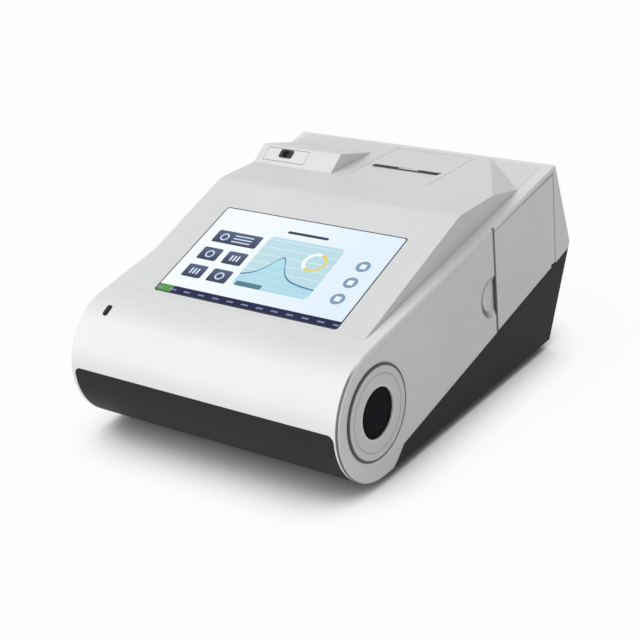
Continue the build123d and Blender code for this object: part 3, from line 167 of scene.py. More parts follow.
class Graph:
    """The node tree of one new material, or of a new world."""

    def __init__(self, name: str, world: bool = False) -> None:
        """Make an empty tree with an output.

        Args:
            name: Name of the material or world.
            world: True for a world.
        """
        self.owner = (bpy.data.worlds if world else bpy.data.materials).new(name)
        self.owner.use_nodes = True
        self.tree = self.owner.node_tree
        self.tree.nodes.clear()
        self.output = self.node("ShaderNodeOutputWorld" if world else "ShaderNodeOutputMaterial")

    def node(
        self, kind: str, settings: dict | None = None, values: dict | None = None
    ) -> bpy.types.Node:
        """Add a node.

        Args:
            kind: The node's type.
            settings: Properties to set first.
            values: Numbers, colours, wires or sockets for inputs, by name or index. None
                leaves an input as it is.

        Returns:
            The new node.
        """
        made = self.tree.nodes.new(kind)
        for key, value in (settings or {}).items():
            setattr(made, key, value)
        for key, value in (values or {}).items():
            source = value.socket if isinstance(value, Wire) else value
            if isinstance(source, Socket):
                self.tree.links.new(source, made.inputs[key])
            elif source is not None:
                made.inputs[key].default_value = source
        return made

    def wire(self, kind: str, settings: dict | None, values: dict) -> Wire:
        """First output of a new node as a wire."""
        return Wire(self, self.node(kind, settings, values).outputs[0])

    def position(self) -> Socket:
        """The object's own coordinates as a vector socket."""
        return self.node("ShaderNodeTexCoord").outputs["Object"]

    def place(self) -> tuple[Wire, Wire, Wire]:
        """The object's own coordinates, in metres, as three wires."""
        split = self.node("ShaderNodeSeparateXYZ", None, {0: self.position()})
        return tuple(Wire(self, out) for out in split.outputs)

    def reach(self, centre: Pair) -> Wire:
        """Distance in metres from an axis along X, at a place in Y and Z."""
        _, y, z = self.place()
        return ((y - centre[0]) ** 2.0 + (z - centre[1]) ** 2.0) ** 0.5

    def noise(self, scale: float, detail: float = 2.0, place: Socket | None = None) -> Wire:
        """Noise around 0.5, in cells per metre and octaves, on the object's or given places."""
        values = {"Vector": place or self.position(), "Scale": scale, "Detail": detail}
        return self.wire("ShaderNodeTexNoise", None, values)

    def blend(self, low: Tone, high: Tone, share: Number) -> Socket:
        """Blend two colours.

        Args:
            low: Colour where the share is 0.
            high: Colour where the share is 1.
            share: The share, a number or a wire.

        Returns:
            The colour socket.
        """
        first, second = (c if isinstance(c, Socket) else (*c, 1.0) for c in (low, high))
        values = {0: share, 6: first, 7: second}
        return self.node("ShaderNodeMix", {"data_type": "RGBA"}, values).outputs[2]

    def edge(self, radius: float) -> tuple[Socket, Wire]:
        """Soft moulded edges.

        Args:
            radius: Radius of the edges in metres.

        Returns:
            The rounded normal and a mask that is 1 on the edges.
        """
        rounded = self.node("ShaderNodeBevel", {"samples": 6}, {"Radius": radius}).outputs[0]
        flat = self.node("ShaderNodeNewGeometry").outputs["Normal"]
        operation = {"operation": "DOT_PRODUCT"}
        dot = self.node("ShaderNodeVectorMath", operation, {0: rounded, 1: flat})
        return rounded, (1.0 - Wire(self, dot.outputs["Value"])).ramp(0.01, 0.25)

    def bump(
        self, height: Wire, strength: float, depth: float, normal: Socket | None = None
    ) -> Socket:
        """Relief of a depth in metres, from a height in units of it, on a normal if given."""
        values = {"Strength": strength, "Distance": depth, "Height": height, "Normal": normal}
        return self.node("ShaderNodeBump", None, values).outputs[0]

    def finish(self, shader: bpy.types.Node) -> bpy.types.ID:
        """Link a shader to the output and return the material or world."""
        self.tree.links.new(shader.outputs[0], self.output.inputs["Surface"])
        return self.owner


def scaled(colour: Colour, factor: float, lift: float = 0.0) -> Colour:
    """A colour times a factor plus a lift, within 0 and 1."""
    return tuple(min(1.0, max(0.0, part * factor + lift)) for part in colour)


@dataclass(frozen=True)
class Finish(ABC):
    """A finish with one principled surface."""

    name: str

    @abstractmethod
    def inputs(self, graph: Graph) -> dict:
        """Draw the finish.

        Args:
            graph: The material's node tree.

        Returns:
            Values for the surface's inputs, by name.
        """

    @cache
    def material(self) -> Material:
        """The finish's one material, built when it is first asked for."""
        graph = Graph(self.name)
        return graph.finish(graph.node("ShaderNodeBsdfPrincipled", None, self.inputs(graph)))


@dataclass(frozen=True)
class SeamShade:
    """Painted shade of the gap where a moulding meets its neighbour: a dark line inside a box."""

    across: Axis3
    place: float
    width: float
    low: Triple = (-BEYOND, -BEYOND, -BEYOND)
    high: Triple = (BEYOND, BEYOND, BEYOND)
    fade: float = 6.0 * MM
    core: float = 0.35

    def mask(self, graph: Graph) -> Wire:
        """Mask of the line.

        Args:
            graph: The material that draws it.

        Returns:
            1 on the line and 0 elsewhere.
        """
        place = dict(zip(Axis3, graph.place()))
        off = abs(place[self.across] - self.place)
        line = 1.0 - off.ramp(self.width * self.core, self.width * (1 - self.core))
        for axis, low, high in zip(Axis3, self.low, self.high):
            if low > -BEYOND:
                line = line * place[axis].ramp(low - self.fade, low)
            if high < BEYOND:
                line = line * (1.0 - place[axis].ramp(high, high + self.fade))
        return line


@dataclass(frozen=True)
class Hollow:
    """Soft shade that gathers in the front slope of a round recess in a side wall."""

    centre: Pair
    radius: float
    width: float
    above_x: float
    core: float = 0.4

    def mask(self, graph: Graph) -> Wire:
        """Mask of the shade.

        Args:
            graph: The material that draws it.

        Returns:
            1 in the middle of the shade and 0 outside the recess.
        """
        x, y, _ = graph.place()
        off = abs(graph.reach(self.centre) - self.radius)
        ring = 1.0 - off.ramp(self.width * self.core, self.width)
        front = (self.centre[0] - y).ramp(-self.radius * 0.1, self.radius * 0.7)
        return ring * front * x.over(self.above_x)


@dataclass(frozen=True)
class Moulded(Finish):
    """Injection-moulded plastic with a fine spark-eroded grain, soft edges with a painted highlight,
    and painted shade of gaps and recesses.
    """

    colour: Colour
    roughness: float = 0.42
    grain: float = 0.5 * MM
    relief: float = 0.12
    edge: float = 0.5 * MM
    edge_highlight: float = 0.04
    tone: float = 0.02
    coat: float = 0.0
    specular: float = 0.5
    painted_shades: tuple[Union[SeamShade, Hollow], ...] = ()
    seam_shade: float = 0.2

    def inputs(self, graph: Graph) -> dict:
        """Values by input."""
        rounded, edges = graph.edge(self.edge)
        cloud = graph.noise(14.0, 3.0)
        fine = graph.noise(1 / self.grain, 1.0)
        dark, light = (scaled(self.colour, 1 + side * self.tone) for side in (-1, 1))
        ground = graph.blend(dark, light, cloud.ramp(*NOISE_SPAN))
        # Painted highlight: the colour is lighter on the edges.
        colour = graph.blend(ground, scaled(self.colour, 1.0, self.edge_highlight), edges)
        # Painted shade of gaps and recesses, laid over the colour.
        for painted_shade in self.painted_shades:
            colour = graph.blend(colour, scaled(self.colour, self.seam_shade), painted_shade.mask(graph))
        return {
            "Base Color": colour,
            "Roughness": cloud.swing(0.1) + fine.swing(0.06) + self.roughness - edges * 0.06,
            "Normal": graph.bump(fine, self.relief, FINE_RELIEF, rounded),
            "Coat Weight": self.coat,
            "Specular IOR Level": self.specular,
        }


@dataclass(frozen=True)
class Metal(Finish):
    """Rolled or machined metal with fine lines along one direction and a painted highlight on its
    edges.
    """

    colour: Colour
    roughness: float = 0.32
    along: Axis3 = Axis3.X
    edge: float = 0.25 * MM
    line_scale: float = 3500.0
    line_stretch: float = 0.03

    def inputs(self, graph: Graph) -> dict:
        """Values by input."""
        rounded, edges = graph.edge(self.edge)
        stretch = tuple(self.line_stretch if axis is self.along else 1 for axis in Axis3)
        values = {"Vector": graph.position(), "Scale": stretch}
        mapped = graph.node("ShaderNodeMapping", None, values)
        grain = graph.noise(self.line_scale, 2.0, mapped.outputs[0])
        ground = graph.blend(scaled(self.colour, 0.88), self.colour, grain.ramp(*NOISE_SPAN))
        return {
            # Painted highlight: lighter on the edges.
            "Base Color": graph.blend(ground, scaled(self.colour, 1.18), edges),
            "Metallic": 1.0,
            "Roughness": grain.swing(0.2) + self.roughness,
            "Normal": graph.bump(grain, 0.1, FINE_RELIEF / 2, rounded),
        }


@dataclass(frozen=True)
class Rubber(Finish):
    """Dull rubber with a faint bloom, and a painted highlight on its edges."""

    colour: Colour = (0.016, 0.016, 0.017)
    roughness: float = 0.72

    def inputs(self, graph: Graph) -> dict:
        """Values by input."""
        rounded, edges = graph.edge(0.4 * MM)
        bloom = graph.noise(90.0, 4.0)
        pores = graph.noise(2200.0, 1.0)
        # Paler where the rubber's own bloom is, and on the edges as a painted highlight.
        share = (bloom.ramp(0.5, 0.8) * 0.5 + edges).at_most(1.0)
        return {
            "Base Color": graph.blend(self.colour, scaled(self.colour, 2.2, 0.006), share),
            "Roughness": bloom.swing(0.15) + self.roughness,
            "Normal": graph.bump(pores, 0.2, FINE_RELIEF, rounded),
        }


@dataclass(frozen=True)
class TurnedCap(Finish):
    """Grey round cap: painted shadow of the gap at its rim, fine groove with painted shade, painted
    highlight on its edges and on the lip at its bore if it has one.
    """

    centre: Pair
    radius: float
    bore: float = 0.0
    colour: Colour = (0.74, 0.745, 0.75)
    gap_shadow_colour: Colour = (0.05, 0.05, 0.052)
    gap: float = 1.9 * MM
    groove: float = 27.0 * MM
    lip: float = 1.6 * MM
    turning_pitch: float = 0.6 * MM

    def inputs(self, graph: Graph) -> dict:
        """Values by input."""
        rounded, edges = graph.edge(0.4 * MM)
        reach = graph.reach(self.centre)
        fine = graph.noise(2000.0, 1.0)
        # Painted shadow of the gap round the cap's rim.
        rim = reach.step(self.radius - self.gap, 0.25 * MM)
        groove = 1.0 - abs(reach - self.groove).ramp(0.25 * MM, 0.6 * MM)
        # Painted highlight on the edges, then painted shade in the groove, which the bump also
        # sinks.
        colour = graph.blend(self.colour, scaled(self.colour, 1.0, 0.05), edges)
        colour = graph.blend(colour, scaled(self.colour, 0.62), groove)
        if self.bore:
            # Painted highlight on the lip round the bore.
            lip = 1.0 - reach.step(self.bore + self.lip, 0.3 * MM)
            colour = graph.blend(colour, scaled(self.colour, 1.14), lip)
        height = reach.ripple(self.turning_pitch) * 0.08 + fine * 0.1 - groove
        return {
            "Base Color": graph.blend(colour, self.gap_shadow_colour, rim),
            "Roughness": fine.swing(0.06) + 0.36,
            "Normal": graph.bump(height, 0.25, 0.2 * MM, rounded),
        }


@dataclass(frozen=True)
class DarkWindow(Finish):
    """Near-black tinted window with the faint rings of the optics behind it."""

    centre: Pair
    radius: float

    def inputs(self, graph: Graph) -> dict:
        """Values by input."""
        share = graph.reach(self.centre) / self.radius
        lens = 1.0 - share.ramp(0.36, 0.4)
        ring = share.ramp(0.52, 0.56) * (1.0 - share.ramp(0.66, 0.7))
        tone = graph.blend((0.003, 0.003, 0.0035), (0.008, 0.008, 0.0095), ring)
        return {
            "Base Color": graph.blend(tone, (0.007, 0.004, 0.012), lens),
            "Roughness": graph.noise(60.0, 3.0).swing(0.06) + 0.16,
            "Specular IOR Level": 0.02,
        }


@dataclass(frozen=True)
class WoundPaper(Finish):
    """Thermal paper wound in a roll: plain on the outside, fine layers on the ends."""

    centre: Pair
    colour: Colour = (0.9, 0.9, 0.88)
    layer_pitch: float = 0.5 * MM

    def inputs(self, graph: Graph) -> dict:
        """Values by input."""
        layers = graph.reach(self.centre).ripple(self.layer_pitch)
        fibre = graph.noise(1600.0, 3.0)
        share = (layers * 0.5 + fibre * 0.4).at_most(1.0)
        return {
            "Base Color": graph.blend(self.colour, scaled(self.colour, 0.84), share),
            "Roughness": fibre.swing(0.1) + 0.62,
            "Normal": graph.bump(layers + fibre * 0.5, 0.25, 0.08 * MM),
        }


@dataclass(frozen=True)
class CircuitBoard(Finish):
    """Green board laminate with tracks, and black chips above a height."""

    chips_above: float
    colour: Colour = (0.015, 0.13, 0.05)
    track_colour: Colour = (0.04, 0.24, 0.09)
    chip_colour: Colour = (0.02, 0.02, 0.022)
    track_pitch: float = 2.4 * MM
    track_half: float = 0.35 * MM

    def inputs(self, graph: Graph) -> dict:
        """Values by input."""
        x, y, z = graph.place()
        tracks = abs((x + y).folded(self.track_pitch)).under(self.track_half)
        patches = graph.noise(60.0, 0.0).over(0.5)
        green = graph.blend(self.colour, self.track_colour, tracks * patches)
        chips = z.over(self.chips_above)
        return {
            "Base Color": graph.blend(green, self.chip_colour, chips),
            "Roughness": chips * 0.3 + 0.3,
            "Normal": graph.edge(0.3 * MM)[0],
        }


@dataclass
class Canvas:
    """Flat drawing, in millimetres across and up, that lays one colour over another."""

    graph: Graph
    u: Wire
    v: Wire
    colour: Socket
    soft: float = 0.12
    ring_soft: float = 0.1

    def at(self, place: Pair) -> tuple[Wire, Wire]:
        """Distances across and up from a place on the drawing."""
        return self.u - place[0], self.v - place[1]

    def paint(self, colour: Tone, mask: Wire) -> None:
        """Lay a colour over the drawing where the mask is 1."""
        self.colour = self.graph.blend(self.colour, colour, mask)

    def box(self, u: Wire, v: Wire, half: Pair, corner: float) -> Wire:
        """Mask of a rounded rectangle round the origin of u and v.

        Args:
            u: Distance across.
            v: Distance up.
            half: Half width and half height.
            corner: Corner radius.

        Returns:
            1 inside and 0 outside, with a soft edge.
        """
        across = (abs(u) - (half[0] - corner)).at_least(0.0)
        up = (abs(v) - (half[1] - corner)).at_least(0.0)
        return 1.0 - ((across * across + up * up) ** 0.5).step(corner, self.soft)

    def ring(self, u: Wire, v: Wire, radius: float, width: float) -> Wire:
        """Mask of a ring round the origin of u and v."""
        return 1.0 - abs((u * u + v * v) ** 0.5 - radius).step(width / 2, self.ring_soft)


@dataclass(frozen=True)
class ScreenPicture(Finish):
    """The lit screen: tiles, a chart, round buttons and a status bar, in millimetres."""

    centre: Triple
    tilt: float
    half_width: float = 80.5
    half_height: float = 48.0
    border: float = 0.9
    chart_centre: Pair = (9.0, -1.0)
    chart_half: Pair = (33.0, 27.0)
    chart_corner: float = 4.0
    rule_pitch: float = 8.0
    rule_half: float = 0.25
    peak_width: float = 9.0
    peak_height: float = 26.0
    curve_foot: float = 18.0
    gauge_centre: Pair = (26.0, 8.0)
    gauge_ring: Pair = (8.5, 2.6)
    heading_centre: Pair = (4.0, 33.0)
    heading_half: Pair = (18.0, 1.3)
    flat_centre: Pair = (-10.0, -25.5)
    flat_half: Pair = (11.5, 2.3)
    tiles_centre: Pair = (-49.5, -3.0)
    tile_pitch: Pair = (23.0, 19.5)
    tile_half: Pair = (8.8, 6.7)
    wide_tile_half: Pair = (20.3, 6.7)
    tile_corner: float = 1.6
    dial: Pair = (3.2, 1.2)
    buttons_centre: Pair = (64.0, -4.0)
    button_pitch: float = 17.0
    bar_top: float = -40.45
    green_end: float = -66.0
    lamp_strength: float = 0.8
    face_share: float = 0.7

    def chart(self, canvas: Canvas) -> None:
        """Draw the chart field with its rules, a filled curve and a ring gauge.

        Args:
            canvas: The drawing.
        """
        u, v = canvas.at(self.chart_centre)
        field = canvas.box(u, v, self.chart_half, self.chart_corner)
        canvas.paint((0.4, 0.64, 0.7), field * 0.8)
        rules = abs(v.folded(self.rule_pitch)).under(self.rule_half)
        canvas.paint((0.8, 0.92, 0.95), rules * field * 0.8)
        swell = ((u + self.peak_width) / self.peak_width) ** 2.0
        rise = (1.0 / (swell + 1.0)) * self.peak_height - self.curve_foot
        canvas.paint((0.36, 0.66, 0.78), (rise - v).ramp(0.0, 0.4) * field * 0.55)
        canvas.paint((0.06, 0.2, 0.36), (1.0 - abs(v - rise).ramp(0.5, 0.9)) * field)
        u, v = canvas.at(self.gauge_centre)
        gauge = canvas.ring(u, v, *self.gauge_ring)
        canvas.paint((0.9, 0.95, 0.95), gauge)
        canvas.paint((0.72, 0.62, 0.2), gauge * (u - v * 0.4).over(-2.0))

    def heading(self, canvas: Canvas) -> None:
        """Draw the heading bar above the chart and the flat button at its foot.

        Args:
            canvas: The drawing.
        """
        heading = canvas.box(*canvas.at(self.heading_centre), self.heading_half, 1.0)
        canvas.paint((0.03, 0.05, 0.09), heading)
        flat = canvas.box(*canvas.at(self.flat_centre), self.flat_half, 1.2)
        canvas.paint((0.1, 0.2, 0.26), flat)

    def tiles(self, canvas: Canvas) -> None:
        """Draw a wide tile over four small ones, each with a plain sign.

        Args:
            canvas: The drawing.
        """
        wide_pitch, high_pitch = self.tile_pitch
        u, v = canvas.at(self.tiles_centre)
        top = v - high_pitch
        wide = canvas.box(u, top, self.wide_tile_half, self.tile_corner)
        inside = abs(u).under(wide_pitch) * abs(v + high_pitch / 2).under(high_pitch)
        column = u - wide_pitch / 2
        tile_u, tile_v = column.folded(wide_pitch), v.folded(high_pitch)
        tile = canvas.box(tile_u, tile_v, self.tile_half, self.tile_corner) * inside
        odd = abs(column.cell(wide_pitch) + v.cell(high_pitch)).maths("MODULO", 2.0)
        fade = (tile_v / 13.0 + 0.5).ramp(0.0, 1.0)
        shade = canvas.graph.blend((0.045, 0.06, 0.11), (0.09, 0.12, 0.2), fade)
        canvas.paint(shade, (tile + wide).at_most(1.0))
        circle = canvas.ring(tile_u, tile_v, *self.dial) * odd
        bars = canvas.box(tile_u.folded(3.0), tile_v, (0.8, 3.0), 0.5)
        bars = bars * (abs(tile_u).under(4.4) * (1.0 - odd))
        wide_circle = canvas.ring(u + wide_pitch / 2, top, *self.dial)
        lines = canvas.box(u - 5.0, top.folded(3.2), (8.5, 0.6), 0.4) * abs(top).under(4.0)
        signs = (circle + bars).at_most(1.0) * tile + (wide_circle + lines).at_most(1.0) * wide
        canvas.paint((0.62, 0.72, 0.86), signs.at_most(1.0))

    def buttons(self, canvas: Canvas) -> None:
        """Draw the three round buttons on the right.

        Args:
            canvas: The drawing.
        """
        u, v = canvas.at(self.buttons_centre)
        column = abs(v).under(25.0)
        for colour, half, corner in (
            ((0.2, 0.32, 0.46), 5.4, 5.3),
            ((0.78, 0.86, 0.93), 2.4, 0.6),
        ):
            dot = canvas.box(u, v.folded(self.button_pitch), (half, half), corner)
            canvas.paint(colour, dot * column)

    def status_bar(self, canvas: Canvas) -> None:
        """Draw the dark bar with its green left end and small marks, and the screen's border.

        Args:
            canvas: The drawing.
        """
        u, v = canvas.u, canvas.v
        bar = 1.0 - v.step(self.bar_top, 0.15)
        canvas.paint((0.018, 0.022, 0.07), bar)
        canvas.paint((0.1, 0.3, 0.08), bar * u.under(self.green_end))
        marks = canvas.box(u.folded(13.0), v + 44.2, (3.0, 0.7), 0.5) * bar
        canvas.paint((0.3, 0.35, 0.5), marks * 0.7)
        inner = (self.half_width - self.border, self.half_height - self.border)
        canvas.paint((0.05, 0.055, 0.06), 1.0 - canvas.box(u, v, inner, 2.0))

    def inputs(self, graph: Graph) -> dict:
        """Values by input."""
        x, y, z = graph.place()
        up = (y - self.centre[1]) * math.cos(self.tilt) + (z - self.centre[2]) * math.sin(self.tilt)
        u, v = (x - self.centre[0]) / MM, up / MM
        across = (u / (2 * self.half_width) + 0.5).ramp(0.1, 1.0)
        canvas = Canvas(graph, u, v, graph.blend((0.86, 0.9, 0.96), (0.72, 0.82, 0.93), across))
        for draw in (self.chart, self.heading, self.tiles, self.buttons, self.status_bar):
            draw(canvas)
        return {
            "Base Color": graph.blend(canvas.colour, (0.0, 0.0, 0.0), self.face_share),
            "Roughness": graph.noise(45.0, 3.0).swing(0.05) + 0.1,
            "Emission Color": canvas.colour,
            "Emission Strength": self.lamp_strength,
            "Specular IOR Level": 0.06,
        }


@dataclass(frozen=True)
class TranslucentPack(Finish):
    """Translucent blue pack with its fluid level showing through the wall and a painted highlight on
    its edges.
    """

    level: float
    colour: Colour = (0.42, 0.62, 0.76)
    fluid: Colour = (0.12, 0.34, 0.58)

    def inputs(self, graph: Graph) -> dict:
        """Values by input."""
        rounded, edges = graph.edge(0.8 * MM)
        _, _, z = graph.place()
        cloud = graph.noise(30.0, 3.0)
        full = 1.0 - z.step(self.level, 0.4 * MM)
        ground = graph.blend(self.colour, self.fluid, full * 0.7 + cloud.swing(0.2))
        return {
            # Painted highlight: paler on the edges.
            "Base Color": graph.blend(ground, (0.75, 0.86, 0.93), edges),
            "Roughness": cloud.swing(0.08) + 0.22,
            "Normal": rounded,
            "Subsurface Weight": 0.15,
            "Subsurface Radius": (0.004, 0.005, 0.006),
        }


@dataclass(frozen=True)
class StripedLabel(Finish):
    """White film label with one blue stripe and no print."""

    stripe_z: float
    stripe_width: float
    stripe_colour: Colour = (0.04, 0.18, 0.42)

    def inputs(self, graph: Graph) -> dict:
        """Values by input."""
        _, _, z = graph.place()
        fibre = graph.noise(900.0, 2.0)
        half = self.stripe_width / 2
        stripe = 1.0 - abs(z - self.stripe_z).ramp(half - 0.1 * MM, half)
        ground = graph.blend((0.86, 0.86, 0.85), (0.8, 0.8, 0.8), fibre.ramp(0.4, 0.7))
        return {
            "Base Color": graph.blend(ground, self.stripe_colour, stripe),
            "Roughness": fibre.swing(0.08) + 0.34,
        }


@dataclass(frozen=True)
class LampLens(Finish):
    """Two small clear lenses, green on one side of a line and amber on the other."""

    divide_x: float
    green: Colour = (0.12, 0.5, 0.12)
    amber: Colour = (0.75, 0.4, 0.05)

    def inputs(self, graph: Graph) -> dict:
        """Values by input."""
        x, _, _ = graph.place()
        return {
            "Base Color": graph.blend(self.green, self.amber, x.over(self.divide_x)),
            "Roughness": graph.noise(700.0, 1.0) * 0.08 + 0.14,
            "Normal": graph.edge(0.3 * MM)[0],
        }


@dataclass(frozen=True)
class TestCartridge(Finish):
    """Glossy white moulding with cross grooves for the thumb near its front end, painted shade in
    the grooves and a painted highlight on its edges.
    """

    front_y: float
    colour: Colour = (0.79, 0.79, 0.78)
    edge_highlight_colour: Colour = (0.84, 0.84, 0.83)
    pitch: float = 1.8 * MM
    groove_count: int = 5
    groove_start: float = 20.0 * MM

    def inputs(self, graph: Graph) -> dict:
        """Values by input."""
        rounded, edges = graph.edge(0.4 * MM)
        _, y, _ = graph.place()
        fine = graph.noise(1800.0, 1.0)
        along = y - (self.front_y + self.groove_start)
        reach = self.pitch * self.groove_count / 2
        zone = abs(along - reach).under(reach)
        groove = (1.0 - abs(along.folded(self.pitch)).ramp(0.2 * MM, 0.45 * MM)) * zone
        # Painted shade: darker in the grooves.
        ground = graph.blend(self.colour, scaled(self.colour, 0.72), groove)
        return {
            # Painted highlight: lighter on the edges.
            "Base Color": graph.blend(ground, self.edge_highlight_colour, edges),
            "Roughness": fine.swing(0.08) + 0.3,
            "Normal": graph.bump(fine * 0.05 - groove, 0.5, 0.3 * MM, rounded),
            "Coat Weight": 0.2,
        }


def dress(node: str, finish: Finish) -> None:
    """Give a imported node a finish.

    Args:
        node: The node's name.
        finish: The finish for every slot.
    """
    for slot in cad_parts[node].material_slots:
        slot.material = finish.material()
    log.info("dressed %s", node)


def link(name: str, data: bpy.types.ID) -> bpy.types.Object:
    """Make an object and link it to the scene.

    Args:
        name: The object's name.
        data: Its mesh, lamp or camera.

    Returns:
        The new object.
    """
    made = bpy.data.objects.new(name, data)
    bpy.context.scene.collection.objects.link(made)
    return made


def middle_of(node: str) -> Vector:
    """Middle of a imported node's box."""
    low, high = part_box(node)
    return (low + high) / 2


def publish(name: str, form: Form, finish: Finish, body: str) -> None:
    """Turn a finished form into a smooth-shaded piece that rides on a body.

    Args:
        name: The piece's name.
        form: The mesh in the row frame, in metres. It is freed.
        finish: Its finish.
        body: The body that carries it.
    """
    bmesh.ops.recalc_face_normals(form, faces=form.faces)
    mesh = bpy.data.meshes.new(name)
    form.to_mesh(mesh)
    form.free()
    for face in mesh.polygons:
        face.use_smooth = True
    mesh.set_sharp_from_angle(angle=SHARP_ANGLE)
    mesh.materials.append(finish.material())
    piece = link(name, mesh)
    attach(piece, body)
    log.info("built %s with %d faces", name, len(mesh.polygons))


def soften(form: Form, width: float, edges: list) -> None:
    """Bevel edges of a form.

    Args:
        form: The mesh.
        width: Width of the bevel in metres.
        edges: The edges.
    """
    bmesh.ops.bevel(
        form,
        geom=edges,
        offset=width,
        offset_type="OFFSET",
        segments=SOFT_SEGMENTS,
        profile=0.5,
        affect="EDGES",
        clamp_overlap=True,
        material=-1,
    )


def merge(form: Form, part: Form) -> None:
    """Add one form to another and free it.

    Args:
        form: The mesh that receives it.
        part: The mesh that is added.
    """
    scratch = bpy.data.meshes.new("scratch")
    part.to_mesh(scratch)
    part.free()
    form.from_mesh(scratch)
    bpy.data.meshes.remove(scratch)


def block(form: Form, low: Vector, high: Vector, round_off: float = 0.0) -> None:
    """Add a block between two corners, with soft edges.

    Args:
        form: The mesh that receives it.
        low: Lowest corner.
        high: Highest corner.
        round_off: Width of the soft edges.
    """
    part = bmesh.new()
    bmesh.ops.create_cube(part, size=1.0)
    bmesh.ops.scale(part, vec=high - low, verts=part.verts)
    bmesh.ops.translate(part, vec=(low + high) / 2, verts=part.verts)
    if round_off:
        soften(part, round_off, list(part.edges))
    merge(form, part)


def disc(
    form: Form,
    centre: Vector,
    radii: Pair,
    depth: float,
    axis: Axis3,
    sides: int,
    round_off: float = 0.0,
) -> None:
    """Add a round bar or cone along an axis, centred on a point.

    Args:
        form: The mesh that receives it.
        centre: Its middle.
        radii: Radius at the lower and at the upper end.
        depth: Length.
        axis: Direction of its length, Y or Z.
        sides: Facets round it.
        round_off: Width of the soft rims.
    """
    part = bmesh.new()
    bmesh.ops.create_cone(
        part, cap_ends=True, segments=sides, radius1=radii[0], radius2=radii[1], depth=depth
    )
    if round_off:
        rims = [e for e in part.edges if abs(e.verts[0].co.z - e.verts[1].co.z) < depth / 4]
        soften(part, round_off, rims)
    if axis is Axis3.Y:
        turn = Matrix.Rotation(-math.pi / 2, 3, "X")
        bmesh.ops.rotate(part, matrix=turn, verts=part.verts)
    bmesh.ops.translate(part, vec=centre, verts=part.verts)
    merge(form, part)


class Stock(Enum):
    """The finishes that several nodes or sub-assemblies share."""

    GREY = Moulded("grey_shell", GREY_PLASTIC, 0.4)
    CHARCOAL = Moulded(
        "charcoal_base",
        (0.021, 0.021, 0.0225),
        0.54,
        grain=0.8 * MM,
        relief=0.3,
        edge_highlight=0.02,
        tone=0.12,
        specular=0.14,
    )
    BLACK = Moulded("black_plastic", (0.018, 0.018, 0.02), 0.46, edge_highlight=0.03, tone=0.1)
    ACETAL = Moulded("gear_plastic", (0.84, 0.83, 0.79), 0.34, edge=0.15 * MM)
    STEEL = Metal("steel", (0.56, 0.57, 0.58))
    ALUMINIUM = Metal("head_aluminium", (0.66, 0.67, 0.68), 0.4)
    PLATED = Metal("port_metal", (0.52, 0.52, 0.53), 0.26, Axis3.Y)
    MAGNET = Metal("magnet", (0.34, 0.34, 0.36), 0.3, Axis3.Z)
    GOLD = Metal("contact_gold", (0.83, 0.62, 0.25), 0.25, Axis3.Y)
    RUBBER = Rubber("black_rubber")
    CARD = Moulded("core_card", (0.42, 0.31, 0.21), 0.8, grain=1.2 * MM, relief=0.5, tone=0.1)
    CERAMIC = Moulded("chip", (0.09, 0.22, 0.27), 0.25, edge=0.2 * MM)
    WRAP = Moulded("battery_blue", (0.03, 0.06, 0.16), 0.25, coat=0.4)


@dataclass
class SubAssembly:
    """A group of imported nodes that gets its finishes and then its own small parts."""

    plain: ClassVar[dict[Stock, tuple[str, ...]]] = {}

    def dress(self) -> None:
        """Give the nodes their finishes, the shared ones here."""
        for stock, nodes in self.plain.items():
            for node in nodes:
                dress(node, stock.value)

    def build(self) -> None:
        """Add the small parts, if there are any."""


